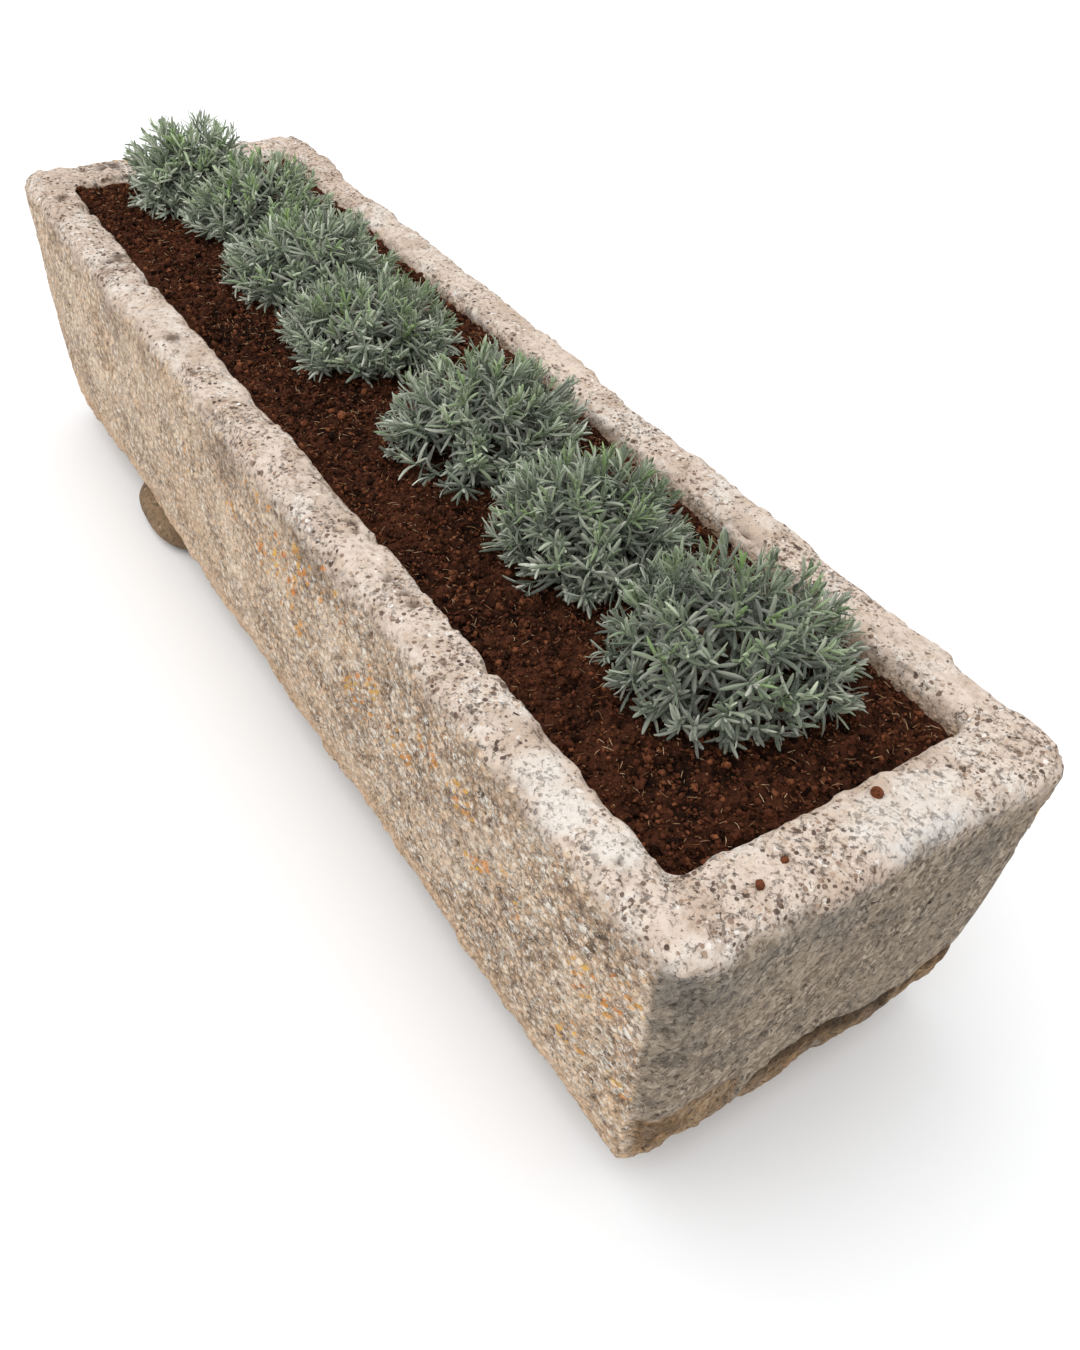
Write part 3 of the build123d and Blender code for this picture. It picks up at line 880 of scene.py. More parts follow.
def block_zones(points, ring):
    """Masks from 0 to 1 for the parts of the block's surface, and the noise that frays them."""
    x, y, z = points.T
    at = SimpleNamespace(points=points, ring=ring, x=x, y=y, z=z)
    at.outer = eased(cap_rings - 1, foot_ring, ring) * (1 - eased(rim_ring - 1, rim_ring + 2, ring))
    at.top = eased(arris_ring, rim_ring - 1, ring)
    at.top *= 1 - eased(wall_ring - 1, wall_ring + 6, ring) * 0.75
    wall_end = wall_ring + wall_rings
    at.shown = eased(cap_rings - 2, foot_ring - 1, ring) * (1 - eased(wall_end, wall_end + 5, ring))
    at.rim_place = at.top * (1 - eased(mouth_ring, mouth_ring + 3, ring))
    at.mouth_edge = peak(ring, mouth_ring + 1, 4.0)
    at.edge = peak(ring, arris_ring + 3, 3.5) + peak(ring, mouth_ring + 1, 3.0)
    at.foot_edge = peak(ring, foot_ring - 1, 3.0)
    at.corner_edge = eased(half_length - 0.07, half_length - 0.02, np.abs(x)) * at.outer
    at.corner_edge *= eased(half_width - 0.07, half_width - 0.03, np.abs(y))
    at.near = eased(half_length - end_lean - 0.025, half_length - end_lean - 0.010, x) * at.outer
    at.left = eased(-half_width + 0.06, -half_width + 0.03, y) * at.outer
    at.right = eased(half_width - 0.06, half_width - 0.03, y) * at.outer
    at.high_flank = eased(0.28, 0.40, z) * eased(0.525, 0.49, z)
    at.rough = layered(points, 0.055, 4, 3)
    at.chips = flaked(points, 0.06, 3, 15, 0.05)
    return at


def add_pits(at):
    """Adds pits of two sizes that crowd in places, knobs, and the single pits of the rim and the near end."""
    distance, lot = cellular(at.points, 0.021, 5)
    at.pit = np.where(lot < 0.42, eased(0.42, 0.12, distance), 0)
    at.knob = np.where(lot > 0.62, eased(0.50, 0.20, distance), 0)
    distance, lot = cellular(at.points, 0.0125, 6)
    at.small_pit = np.where(lot < 0.5, eased(0.48, 0.15, distance), 0)
    at.cluster = patchy(at.points, 0.11, 12, -0.15, 0.35)
    at.dents = patches_mask(at.x, at.y, rim_pits, 0.1) * at.rim_place
    at.dents *= patchy(at.points, 0.012, 33, -0.9, -0.2)
    at.end_dents = at.near * patches_mask(at.y, at.z, end_nicks, 0.1)


def add_breaks(at):
    """Adds the crevice across the near end, the painted shade under its overhang and the broken foot."""
    along_end = at.points * np.array((0, 1, 0))
    crevice_height = np.interp(at.y, *np.array(crevice_line).T) + 0.006 * noise(along_end, 0.045, 21)
    above = at.z - crevice_height
    at.crevice = at.near * peak(above, 0, 0.010) * eased(-0.16, -0.10, at.y)
    at.crevice *= patchy(at.points, 0.06, 23, -0.7, -0.1)
    # Painted shade under the crevice's overhang on the near end. It only darkens the colour.
    at.sheltered = at.near * eased(0.006, -0.004, above) * eased(-0.045, -0.012, above)
    at.sheltered *= eased(-0.14, -0.05, at.y) * patchy(at.points, 0.025, 24, -0.6, 0.1)
    shelf = np.where(at.y < -0.13, 0.185 + 0.02 * noise(along_end, 0.1, 22), crevice_height)
    at.foot_break = at.near * eased(0.006, -0.012, at.z - shelf)


def block_depth(at):
    """How far each point is cut into the block."""
    points, outer = at.points, at.outer
    crags = 1 - np.abs(layered(points, 0.036, 3, 9)) * 2.2
    depth = 0.0024 * outer + 0.0010 * at.top * (1 - outer)
    depth += 0.0016 * noise(points, 0.30, 1) + 0.0018 * noise(points, 0.11, 2)
    depth += 0.0042 * at.rough * (outer * 0.8 + 0.35) - 0.0014 * crags * outer
    depth += at.pit * (0.0026 * at.cluster + 0.0010 * outer) + at.small_pit * 0.0014 * (0.4 + at.cluster)
    depth -= at.knob * 0.0022 * outer
    depth += (at.edge + at.foot_edge + at.corner_edge) * flaked(points, 0.020, 2, 17, 0.1) * 0.007
    depth += (at.edge * 0.015 + at.foot_edge * 0.012) * at.chips
    depth += at.mouth_edge * flaked(points, 0.030, 3, 16) * 0.010
    depth += at.corner_edge * flaked(points, 0.05, 3, 18) * 0.007
    depth += at.crevice * (0.009 + 0.005 * at.rough)
    depth += at.foot_break * (0.0030 + 0.007 * np.clip(at.rough, -0.3, 1))
    depth += 0.007 * at.dents + 0.006 * at.end_dents
    depth += 0.016 * patches_mask(at.x, at.y, mouth_nicks, 0.2) * at.mouth_edge
    least = np.where(at.ring < rim_ring - 1, 0, -0.003)
    return np.maximum(depth, least) * at.shown


def block_marks(at):
    """Lichen, the stain over the rim, and smudges: painted shade under the near end's rim and darker patches
    high on the flanks.
    """
    points, x, y, z = at.points, at.x, at.y, at.z
    lichen = at.left * patches_mask(x, z, lichen_patches) + at.top * patches_mask(x, y, far_lichen)
    lichen += at.left * 0.55 * at.high_flank * patchy(points, 0.12, 25, 0.15, 0.4) * eased(-0.4, 0.0, x)
    lichen += at.right * at.high_flank * patchy(points, 0.2, 26, 0.2, 0.4)
    stain = peak(x + 0.10 * (y + half_width), -0.60, 0.025) * eased(-0.18, -0.24, y)
    stain *= eased(0.40, 0.5, z) * patchy(points, 0.03, 27, -0.5, 0.4) * (0.2 + 0.5 * at.top)
    # Painted shade just under the rim of the near end
    under_rim = eased(0.40, 0.49, z + 0.10 * eased(-0.15, -0.28, y)) * eased(0.02, -0.10, y)
    smudge_and_shade = at.near * under_rim * (0.6 + 0.4 * noise(points, 0.09, 28))
    smudge_and_shade += at.near * peak(y, 0.19, 0.024) * peak(z, 0.455, 0.035)
    high_smudge = eased(0.42, 0.50, z) * eased(-0.4, 0.2, x)
    smudge_and_shade += at.left * high_smudge * patchy(points, 0.12, 29, -0.3, 0.4) * 0.8
    smudge_and_shade += at.left * at.high_flank * patchy(points, 0.14, 31, 0.25, 0.5) * 0.35
    smudge_and_shade += at.right * patchy(points, 0.16, 30, 0.1, 0.4) * 0.5
    return lichen, stain, smudge_and_shade


def block_patches(at):
    """Pale patches, crowds of specks and the warm band along the foot."""
    low_band = eased(0.135, 0.10, at.z + 0.02 * at.rough) * at.outer
    on_rim = patches_mask(at.x, at.y, speckled_patches, 0.3) + 0.8 * eased(-0.55, -0.8, at.x)
    on_side = eased(-0.35, 0.45, at.x + 0.25 * noise(at.points, 0.22, 34)) * (1 - 0.8 * low_band)
    crowd = np.where(at.ring < arris_ring + 2, np.maximum(on_side, at.right), on_rim)
    pale = patches_mask(at.x, at.y, pale_patches, 0.5)
    return [patch * (0.8 + 0.5 * at.rough) for patch in (pale, crowd, low_band)]


def block_colours(at):
    """Colour attributes of the block's points, three masks in each."""
    # Painted shade: pits, dents, the crevice, the stone under its overhang and chipped edges are darkened
    # where shade would fall. The dark growths on the rim are the stone's own colour.
    cavity = (at.pit * (0.15 + 0.6 * at.cluster) + 0.5 * at.small_pit * at.cluster) * (1 - 0.45 * at.top)
    cavity += 1.6 * at.crevice + at.dents + at.end_dents + 0.9 * at.sheltered
    dark_growth = patches_mask(at.x, at.y, dark_growths, 0.3) * at.rim_place
    cavity += dark_growth * eased(-0.02, 0.12, layered(at.points, 0.022, 3, 35))
    cavity += at.edge * eased(0.25, 0.7, at.chips) * 0.25
    paled = np.maximum(at.top, eased(arris_ring - 8, rim_ring, at.ring) * (at.ring < rim_ring))
    soil_edge = soil_level(at.x) - soil_crown
    inside = eased(wall_ring, wall_ring + 2, at.ring)
    soil_mark = inside * eased(soil_edge + 0.026, soil_edge + 0.002, at.z + 0.008 * at.rough)
    streak = eased(arris_ring - 1, arris_ring + 2, at.ring) * eased(rim_ring + 2, rim_ring, at.ring)
    streak *= eased(half_length - 0.05, half_length - 0.03, at.x)
    streak *= eased(-0.03, 0.03, at.y) * eased(0.16, 0.08, at.y)
    masks = {
        "tone": (cavity, paled, at.foot_break),
        "marks": block_marks(at),
        "zones": (at.near, soil_mark, streak),
        "patches": block_patches(at),
    }
    return {name: np.clip(np.stack(parts, axis=1), 0, 1) for name, parts in masks.items()}


def hewn_block():
    """Piece for the whole block, closed around the drains. Gives the points of its worked surface."""
    grid = fitted_block()
    rings, around = grid.shape[:2]
    points = grid.reshape(-1, 3)
    at = block_zones(points, np.repeat(np.arange(rings), around))
    add_pits(at)
    add_breaks(at)
    moved = points - grid_normals(grid).reshape(-1, 3) * block_depth(at)[:, None]

    drain_points = len(drain_places) * drain_sides
    low_start = len(points)
    high_start = low_start + drain_points
    low_points, low_faces = drained_cap(grid[0], ground_gap, 0, low_start, -1)
    high_points, high_faces = drained_cap(grid[-1], hollow_floor, low_start - around, high_start, 1)
    this = np.arange(drain_points)
    after = this // drain_sides * drain_sides + (this + 1) % drain_sides
    walls = np.stack([low_start + this, high_start + this, high_start + after, low_start + after], axis=1)
    vertices = np.concatenate([moved, low_points, high_points])
    faces = [grid_faces(rings, around), walls, low_faces, high_faces]
    unmarked = np.zeros((2 * drain_points, 3))
    colours = {name: np.concatenate([values, unmarked]) for name, values in block_colours(at).items()}
    piece = new_piece("hewn_block", vertices, faces, Limestone().weathered(), **colours)
    belongs(piece, "trough_stone", "trough_body")
    return moved


block_points = hewn_block()


# Cobbles

def quad_ball(cells):
    """Points and faces of a ball made of six grids that share their edges."""
    shape = bmesh.new()
    bmesh.ops.create_cube(shape, size=2)
    bmesh.ops.subdivide_edges(shape, edges=shape.edges[:], cuts=cells, use_grid_fill=True)
    shape.verts.ensure_lookup_table()
    points = unit(np.array([tuple(v.co) for v in shape.verts]))
    faces = np.array([[v.index for v in face.verts] for face in shape.faces])
    shape.free()
    return points, faces


def cobbles():
    material = cobblestone()
    unit_points, faces = quad_ball(cells=26)
    squareness, fullness = np.array((0.92, 0.92, 0.80)), np.array((0.985, 0.985, 1.22))
    flattened = np.sign(unit_points) * np.abs(unit_points) ** squareness
    for seed, name in enumerate(("far_left", "far_right", "near_left", "near_right"), start=40):
        node = f"support_stone_{name}"
        low, high = np.array(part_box(node))
        points = (low + high) / 2 + flattened * (high - low) / 2 * fullness
        swell = 0.004 * noise(points, 0.11, seed) + 0.0016 * layered(points, 0.03, 3, seed + 1)
        points = np.clip(points + unit_points * swell[:, None], low, high)
        belongs(new_piece(f"cobble_{name}", points, [faces], material), "cobble", node)


cobbles()


# Soil

soil_half_x, soil_half_y = hollow_half(soil_level(0))


def soil_height(points):
    """Height of the soil's surface, with lumps and a low mound at each plant."""
    mound_rise, plant_reach, least_rise = 0.004, 0.075, 0.001
    level = soil_level(points[:, 0])
    margin = np.minimum(soil_half_x - np.abs(points[:, 0]), soil_half_y - np.abs(points[:, 1]))
    height = level - soil_crown * (1 - eased(-0.01, crown_margin, margin))
    reach = np.min([np.hypot(points[:, 0] - x, points[:, 1] - y) for x, y in plant_places], axis=0)
    height += soil_relief(points) + mound_rise * eased(0.12, 0.05, reach)
    return np.where(reach < plant_reach, np.maximum(height, level + least_rise), height)


def soil_relief(points):
    """Lumps of the soil above its level: swells, clods and crumbs."""
    flat = points * np.array((1, 1, 0))
    uneven = flat + 0.004 * np.stack([noise(flat, 0.014, 54), noise(flat, 0.014, 55), flat[:, 2]], axis=1)
    relief = 0.0020 + 0.0045 * noise(flat, 0.075, 50) + 0.0040 * layered(flat, 0.026, 3, 51)
    for spacing, rise, seed in ((0.021, 0.0058, 52), (0.012, 0.0048, 53)):
        distance, lot = cellular(uneven, spacing, seed)
        relief += rise * np.sqrt(np.clip(1 - (distance / 0.72) ** 2, 0, 1)) * np.clip(1.5 * lot - 0.2, 0, 1)
    return relief


def soil_tones(rng, count):
    """Colours of crumbs: red-brown, with dark and light ones among them."""
    dark, middle, light = srgb(24, 11, 7), srgb(98, 56, 38), srgb(150, 92, 62)
    share = rng.random((count, 1))
    lively = rng.random((count, 1))
    return between(dark, middle, eased(0.0, 0.8, share)) + (light - middle) * eased(0.74, 1.0, lively)


def soil_bed():
    cell, overlap, last_half, last_radius = 0.0032, 0.005, 0.006, 0.005
    tuck, edge_depth, tilt_depth = 0.001, 0.012, 0.02
    edge_level = soil_level(0) - soil_crown
    half_x, half_y = soil_half_x + overlap, soil_half_y + overlap
    foot_x, foot_y = hollow_half(soil_base)
    long_cells, short_cells = (round(2 * (half - hollow_corner) / cell) for half in (half_x, half_y))
    profile = [(foot_x - foot_y + last_half, last_half, last_radius, soil_base)]
    stretch(profile, (foot_x, foot_y, hollow_corner, soil_base), 5)
    stretch(profile, (half_x - tuck, half_y - tuck, hollow_corner, edge_level - edge_depth), 12)
    edge_row = len(profile)
    stretch(profile, (half_x, half_y, hollow_corner, edge_level), 3)
    rings = round((half_y - last_half) / cell)
    for step in range(1, rings + 1):
        inset = (half_y - last_half) * step / rings
        profile.append((half_x - inset, half_y - inset, max(hollow_corner - inset, last_radius), edge_level))
    grid = ring_grid(ring_pattern(long_cells, short_cells, 20), profile)
    lifted = eased(soil_base, edge_level - tilt_depth, grid[..., 2])
    grid[..., 2] += (soil_level(grid[..., 0]) - soil_level(0)) * lifted
    rows, around = grid.shape[:2]
    points = grid.reshape(-1, 3)
    top = np.repeat(np.arange(rows), around) >= edge_row + 2
    points[top, 2] = soil_height(points[top])
    # Painted shade: the bed is darkest in the hollows between its lumps and lighter on them
    light = eased(-0.002, 0.011, soil_relief(points) + 0.003 * layered(points, 0.012, 2, 60))
    tone = between(srgb(12, 6, 4), srgb(78, 44, 29), light[:, None])
    material = crumbly_soil("damp_soil", True)
    bed = new_piece("soil_bed", points, closed_faces(rows, around), material, tone=tone)
    belongs(bed, "soil", "potting_soil")


def on_soil(rng, count, margin):
    """Random spots on the soil, away from the walls by a margin."""
    spots = np.zeros((count, 3))
    for axis, half in enumerate((soil_half_x, soil_half_y)):
        spots[:, axis] = rng.uniform(-half + margin, half - margin, count)
    spots[:, 2] = soil_height(spots)
    return spots


def soil_crumbs():
    """Loose crumbs on the soil, in four sizes."""
    rng = np.random.default_rng(71)
    for name, count, subdivisions, small, large in (
        ("dust", 9500, 1, 0.0011, 0.0024), ("fine", 9500, 1, 0.0017, 0.0034),
        ("coarse", 8000, 1, 0.0026, 0.0048), ("lump", 800, 2, 0.0042, 0.0070),
    ):
        shape = ball_shape(subdivisions)
        corners = len(shape[0])
        spots = on_soil(rng, count, margin=0.004)
        size = between(small, large, rng.random(count) ** 2)
        scales = size[:, None] * rng.uniform(0.55, 1.35, (count, 3))
        spots[:, 2] += size * rng.uniform(0.0, 0.6, count)
        moved, faces = scattered(shape, spots, random_turns(rng, count), scales)
        moved += (rng.random(moved.shape) - 0.5) * np.repeat(size, corners)[:, None] * 0.8
        tone = np.repeat(soil_tones(rng, count), corners, axis=0)
        crumbs = new_piece(f"{name}_crumbs", moved, faces, bpy.data.materials["damp_soil"], False, tone=tone)
        belongs(crumbs, "soil")


def swept(paths, radii, sides):
    """Closed tubes along paths of equal point counts. Each path has a radius for each of its points."""
    count, points = paths.shape[:2]
    ahead = unit(np.gradient(paths, axis=1))
    helper = np.where(np.abs(ahead[..., 2:3]) < 0.9, np.array((0.0, 0.0, 1.0)), np.array((1.0, 0.0, 0.0)))
    across = unit(np.cross(ahead, helper))
    other = np.cross(ahead, across)
    angles = 2 * np.pi * np.arange(sides) / sides
    rim = np.cos(angles)[:, None] * across[:, :, None, :] + np.sin(angles)[:, None] * other[:, :, None, :]
    vertices = paths[:, :, None, :] + rim * radii[:, :, None, None]
    return vertices.reshape(-1, 3), repeated(closed_faces(points, sides), count, points * sides)


def soil_fibres():
    """Thin curled roots and straws on the soil."""
    rng = np.random.default_rng(72)
    count, points, sides = 3200, 6, 4
    spots = on_soil(rng, count, margin=0.012)
    length = 0.003 + 0.014 * rng.random(count) ** 2
    heading = rng.uniform(0, 2 * np.pi, count)
    curl = rng.normal(0, 0.35, count)
    rise = rng.uniform(-0.1, 0.5, count)
    paths = np.zeros((count, points, 3))
    paths[:, 0] = spots + np.array((0, 0, 0.0032))
    for step in range(1, points):
        share = step / (points - 1)
        angle = heading + curl * share
        ahead = np.stack([np.cos(angle), np.sin(angle), rise * (1 - 1.6 * share)], axis=1)
        paths[:, step] = paths[:, step - 1] + ahead * (length / (points - 1))[:, None]
    radii = rng.uniform(0.00024, 0.00055, count)[:, None] * np.array((0.7, 1, 1, 1, 0.9, 0.5))
    vertices, faces = swept(paths, radii, sides)
    tone = between(srgb(156, 104, 64), srgb(232, 200, 160), rng.random((count, 1)) ** 1.5)
    tone = np.repeat(tone, points * sides, axis=0)
    fibres = new_piece("soil_fibres", vertices, faces, bpy.data.materials["damp_soil"], tone=tone)
    belongs(fibres, "soil")


soil_bed()
soil_crumbs()
soil_fibres()


# Lavenders

leaf_stations = np.array((0.12, 0.36, 0.62, 0.85, 0.965))
leaf_widths = np.array((0.46, 0.80, 1.0, 0.84, 0.44))
leaf_corners = 4
shoot_count = 128
pairs_on_shoot = 9


def leaf_faces():
    """Faces of one leaf: fans at its foot and its tip, and quads along it."""
    side = np.arange(leaf_corners)
    following = np.roll(side, -1)
    last = 1 + leaf_corners * (len(leaf_stations) - 1)
    foot_fan = np.stack([side * 0, 1 + following, 1 + side], axis=1)
    tip_fan = np.stack([side * 0 + last + leaf_corners, last + side, last + following], axis=1)
    return [np.concatenate([foot_fan, tip_fan]), 1 + grid_faces(len(leaf_stations), leaf_corners)]


def leaves(foot, ahead, upper, length, width, bend, sway, tone):
    """Closed narrow leaves that run ahead from their feet, bend to their upper side and sway across it."""
    across = unit(np.cross(ahead, upper))
    upper = np.cross(across, ahead)
    length, width, bend, sway = (values[:, None] for values in (length, width, bend, sway))
    size = 2 + leaf_corners * len(leaf_stations)
    vertices = np.zeros((len(foot), size, 3))
    colours = np.zeros((len(foot), size, 3))

    def centre(share):
        arch = (upper * bend + across * sway) * share**2 / 2
        return foot + length * (ahead * (share - 0.12 * bend**2 * share**3) + arch)

    vertices[:, 0], vertices[:, -1] = foot, centre(1.0)
    # Painted shade at each leaf's foot
    colours[:, 0], colours[:, -1] = tone * 0.8, tone * 1.05
    keel = width * 0.16
    for row, (share, broad) in enumerate(zip(leaf_stations, leaf_widths)):
        middle, edge = centre(share), across * width * broad / 2
        crease, ridge = upper * keel * 0.35, -upper * keel
        # Painted highlight along both edges and painted shade in the crease. The paler underside ridge is the
        # leaf's own felt.
        corners = ((edge, 1.28, 0), (crease, 0.82, 0), (-edge, 1.28, 0), (ridge, 1.15, 0.05))
        for corner, (offset, shade, lift) in enumerate(corners, start=1 + leaf_corners * row):
            vertices[:, corner] = middle + offset
            colours[:, corner] = tone * shade + lift
    return vertices.reshape(-1, 3), repeated(leaf_faces(), len(foot), size), colours.reshape(-1, 3)


def spread_shoots(number, place, rng):
    """Shoots spread over a plant's mound: their feet, directions, leafy lengths and shades."""
    low, high = np.array(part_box(f"foliage_{number}"))
    leaf_room, tip_room, heart_height = 0.016, 0.022, 0.016
    least_tip, least_foot, neighbour_overlap = 0.014, 0.006, 0.004
    even_lean, most_lean = math.radians(94), math.radians(97)
    ground = soil_level(place[0])
    girth = (high[1] - low[1]) / 2 - leaf_room
    crown = high[2] - ground - tip_room
    index = np.arange(shoot_count)
    polar = np.arccos(1 - (index + 0.5) / shoot_count * (1 - math.cos(even_lean)))
    polar = np.clip(polar + rng.normal(0, 0.08, shoot_count), 0, most_lean)
    turn = index * golden_angle + number * 1.7 + rng.normal(0, 0.22, shoot_count)
    flat_out = np.sin(polar) ** 0.85
    out = np.stack([flat_out * np.cos(turn), flat_out * np.sin(turn), np.cos(polar)], axis=1)
    room = np.full(shoot_count, girth)
    for step in (-1, 1):
        if 1 <= number + step <= len(plant_places):
            gap = abs(plant_places[number - 1 + step][0] - place[0]) / 2 + neighbour_overlap
            room = np.where(out[:, 0] * step > 0, np.minimum(room, gap), room)
    ragged = 1 + rng.normal(0, 0.075, shoot_count) + 0.09 * noise(out, 0.8, 200 + number)
    reach = np.stack([room, np.full(shoot_count, girth), np.full(shoot_count, crown - heart_height)], axis=1)
    tips = np.array((*place, ground + heart_height)) + out * reach * np.minimum(ragged, 1.10)[:, None]
    tips[:, 2] = np.clip(tips[:, 2], ground + least_tip, high[2] - tip_room)
    upward = np.array((0, 0, 1.0))
    axis = unit(out * np.array((1, 1, 0.6)) + upward * rng.uniform(0.15, 1.05, (shoot_count, 1)))
    leafy = rng.uniform(0.036, 0.058, shoot_count)
    feet = tips - axis * leafy[:, None]
    feet[:, 2] = np.maximum(feet[:, 2], ground + least_foot)
    first = unit(np.cross(axis, unit(rng.normal(size=(shoot_count, 3)))))
    skirt = eased(0.55, 0.05, (tips[:, 2] - ground) / crown)
    young = eased(0.50, 0.95, axis[:, 2]) * rng.uniform(0.1, 1.0, shoot_count)
    # Each shoot's tone varies at random. Low shoots at the skirt get painted shade, and plants with lower
    # numbers, towards the far end, are lighter.
    shade = rng.uniform(0.72, 1.14, shoot_count) * (1 - 0.10 * skirt) * (1.52 - 0.07 * number)
    sides = (first, np.cross(axis, first))
    return SimpleNamespace(
        feet=feet, axis=axis, sides=sides, leafy=leafy, skirt=skirt, young=young, shade=shade,
    )


def shoot_leaves(shoots, rng):
    """Leaves in pairs up each shoot, every second pair crosswise. Higher ones are shorter and open less."""
    longest, shortening = 0.047, 0.022
    widest, narrowing = 0.0066, 0.0016
    old, silvery, fresh = srgb(108, 120, 100), srgb(192, 195, 180), srgb(108, 136, 70)
    axis = shoots.axis
    parts = []
    for pair, half in product(range(pairs_on_shoot), (-1, 1)):
        share = pair / (pairs_on_shoot - 1)
        outward = unit(shoots.sides[pair % 2] * half + 0.40 * rng.normal(size=(shoot_count, 3)))
        open_angle = np.radians(80 - 64 * share**1.1 + rng.normal(0, 12, shoot_count))[:, None]
        ahead = unit(axis * np.cos(open_angle) + outward * np.sin(open_angle))
        ahead[:, 2] -= 0.16 * (1 - share)
        ahead = unit(ahead)
        upper = unit(axis - ahead * np.sum(axis * ahead, axis=1, keepdims=True))
        length = (longest - shortening * share**1.4) * rng.uniform(0.60, 1.15, shoot_count)
        width = (widest - narrowing * share) * rng.uniform(0.75, 1.15, shoot_count)
        bend = rng.normal(0.25 * share - (0.35 + 0.45 * shoots.skirt) * (1 - share), 0.75, shoot_count)
        sway = rng.normal(0, 0.50, shoot_count)
        foot = shoots.feet + axis * (shoots.leafy * share * 0.94)[:, None]
        tone = between(old, silvery, rng.random((shoot_count, 1)) ** 1.5)
        tone = between(tone, fresh, (eased(0.30, 0.85, share) * shoots.young)[:, None])
        # Painted shade: leaves low on each shoot, deep in the mound, are darker
        inner_shade = 0.38 + 0.72 * eased(-0.05, 0.65, share)
        tone = tone * (inner_shade * shoots.shade * rng.uniform(0.80, 1.15, shoot_count))[:, None]
        parts.append(leaves(foot, ahead, upper, length, width, bend, sway, tone))
    return parts


def shoot_stems(shoots, place, rng):
    """Stems that fork from the woody foot and run up among the leaves of each shoot."""
    feet, sides = shoots.feet[:, None], 5
    trunk_height = 0.010
    trunk = np.array((*place, soil_level(place[0]) + trunk_height))
    trunk = (trunk + rng.normal(0, 0.006, (shoot_count, 3)) * np.array((1, 1, 0.5)))[:, None]
    elbow = between(trunk, feet, np.array((0.62, 0.62, 0.25)))
    shares = np.linspace(0, 1, 6)[None, :, None]
    curve = trunk * (1 - shares) ** 2 + 2 * elbow * shares * (1 - shares) + feet * shares**2
    ends = feet + shoots.axis[:, None] * (shoots.leafy[:, None, None] * np.array((0.5, 0.97))[None, :, None])
    paths = np.concatenate([curve, ends], axis=1)
    radii = np.array((2.2, 2.0, 1.8, 1.6, 1.4, 1.2, 1.0, 0.6)) * 0.001
    vertices, faces = swept(paths, np.broadcast_to(radii, paths.shape[:2]), sides)
    along = np.linspace(0, 1, len(radii))[:, None]
    tone = between(srgb(92, 76, 58), srgb(104, 120, 92), eased(0.3, 0.75, along))
    return vertices, faces, np.tile(np.repeat(tone, sides, axis=0), (shoot_count, 1))


def joined(parts):
    """Vertices, groups of faces and tones of several meshes, as one of each."""
    groups, start = [], 0
    for vertices, own_groups, _ in parts:
        groups += [group + start for group in own_groups]
        start += len(vertices)
    return np.concatenate([part[0] for part in parts]), groups, np.concatenate([part[2] for part in parts])


def lavender(number, place, material):
    """One clipped young plant: leafy shoots spread over a mound, on stems that fork from the woody foot."""
    rng = np.random.default_rng(100 + number)
    shoots = spread_shoots(number, place, rng)
    leafage = shoot_leaves(shoots, rng)
    vertices, groups, tone = joined([shoot_stems(shoots, place, rng), *leafage])
    over_soil = np.maximum(vertices[:, 2], soil_level(vertices[:, 0]) - 0.002)
    vertices[:, 2] = np.minimum(over_soil, cad_box[1][2] - 0.0005)
    piece = new_piece(f"lavender_{number}", vertices, groups, material, tone=np.clip(tone, 0, 1))
    belongs(piece, "leaf", f"foliage_{number}")


leaf_material = lavender_leaf()
for number, place in zip(plant_numbers, plant_places):
    lavender(number, place, leaf_material)


# Clods left on the near rim, as places along and across and a radius
clod_spots = ((1.017, 0.040, 0.0085), (1.036, -0.115, 0.0060), (1.050, -0.163, 0.0060))


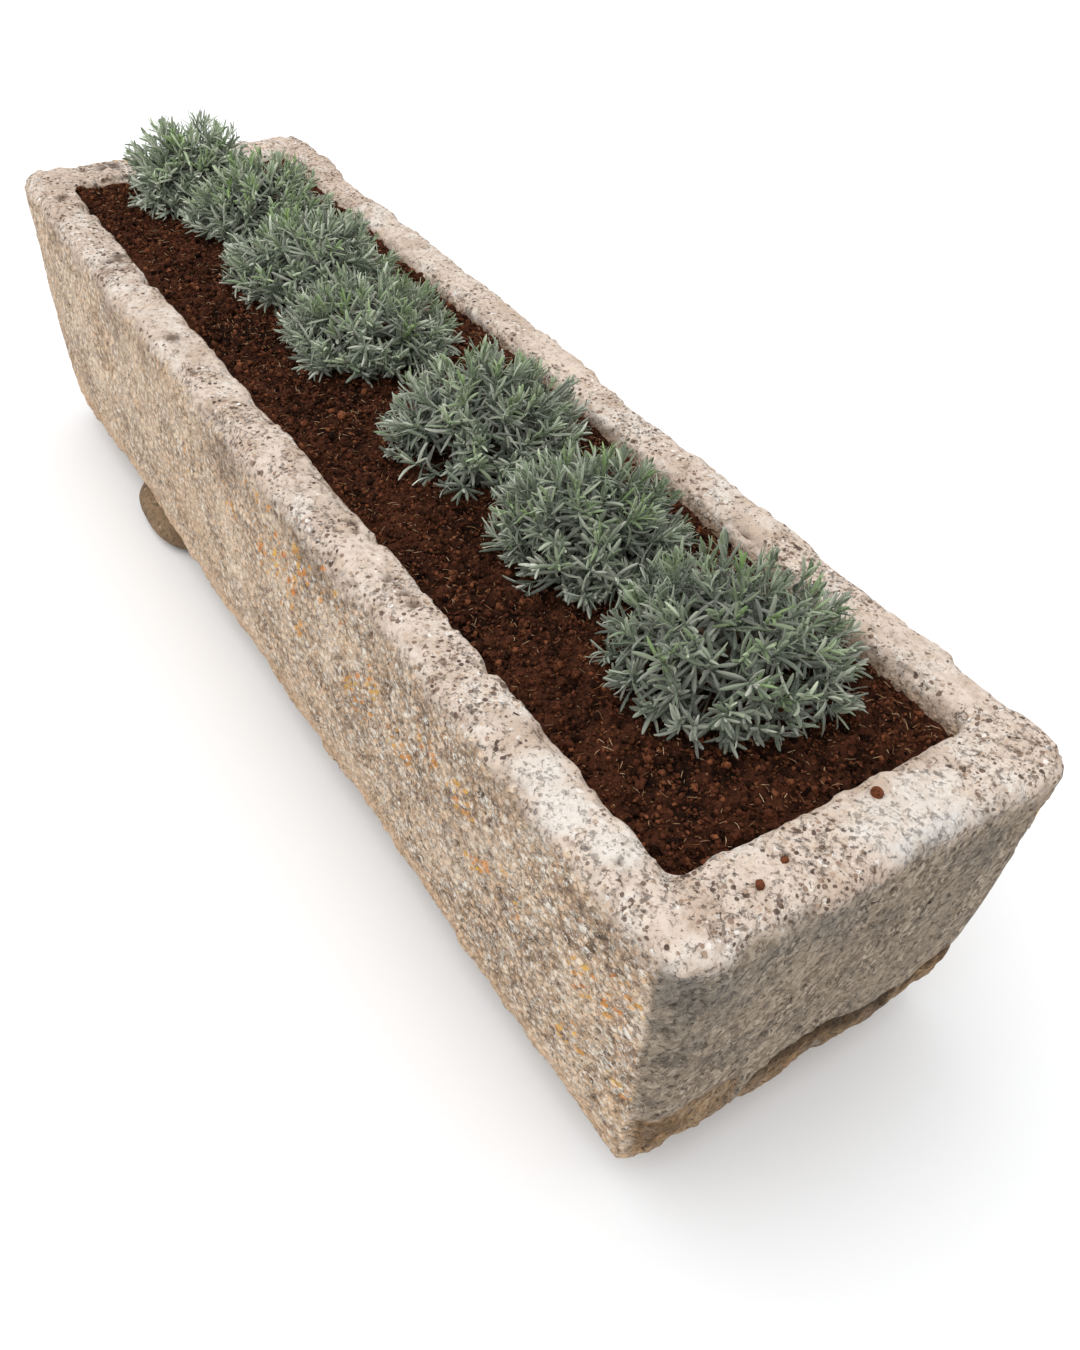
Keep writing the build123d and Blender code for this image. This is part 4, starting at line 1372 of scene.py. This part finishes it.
def clods():
    """Lumps of soil that sit on the rim at their spots."""
    rng = np.random.default_rng(81)
    shape = ball_shape(subdivisions=4)
    spots = np.array([(x, y, 0) for x, y, _ in clod_spots])
    sizes = np.array([size for _, _, size in clod_spots])
    top = block_points[block_points[:, 2] > rim_level - 0.03]
    for spot, size in zip(spots, sizes):
        near = np.argmin(np.hypot(top[:, 0] - spot[0], top[:, 1] - spot[1]))
        spot[2] = top[near, 2] + size * 0.45
    scales = sizes[:, None] * np.array((1, 0.92, 0.8))
    moved, faces = scattered(shape, spots, random_turns(rng, len(spots)), scales)
    away = unit(moved - np.repeat(spots, len(shape[0]), axis=0))
    moved += away * (0.0008 * layered(moved, 0.004, 2, 82))[:, None]
    piece = new_piece("rim_clods", moved, faces, bpy.data.materials["damp_soil"], tone=srgb(124, 72, 48))
    belongs(piece, "soil")


clods()


# Fleece between the gravel and the soil

def fleece():
    low, high = np.array(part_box("filter_fleece"))
    half = (high - low) / 2
    cell, thickness, inner, clearance, last_radius = 0.012, 0.0022, 0.004, 0.0005, 0.003
    pattern = ring_pattern(round(2 * half[0] / cell), round(2 * half[1] / cell), 8)
    outer_x, outer_y = half[:2] - clearance
    middle = (low[2] + high[2]) / 2
    steps = round((half[1] - inner) / cell)
    lower, upper = [], []
    for step in range(steps + 1):
        inset = (outer_y - inner) * (1 - step / steps)
        row = (outer_x - inset, outer_y - inset, max(hollow_corner - inset, last_radius))
        lower.append((*row, middle - thickness / 2))
        upper.append((*row, middle + thickness / 2))
    grid = ring_grid(pattern, lower + upper[::-1])
    points = grid.reshape(-1, 3)
    points[:, 2] += 0.00035 * noise(points * np.array((1, 1, 0)), 0.05, 90)
    sheet = new_piece("fleece_sheet", points, closed_faces(*grid.shape[:2]), needled_fleece())
    belongs(sheet, "fleece", "filter_fleece")


fleece()


# Nodes that keep their own shape

def dress(material, *nodes):
    """Gives nodes of the frame a material."""
    for node in nodes:
        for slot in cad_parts[node].material_slots:
            slot.material = material


dress(washed_gravel(), "drainage_gravel")
dress(fired_clay(), *(f"drain_crock_{number}" for number in range(1, len(drain_places) + 1)))
dress(crumbly_soil("root_ball_soil", False), *(f"root_ball_{number}" for number in plant_numbers))
dress(woody_bark(), *(f"woody_stems_{number}" for number in plant_numbers))
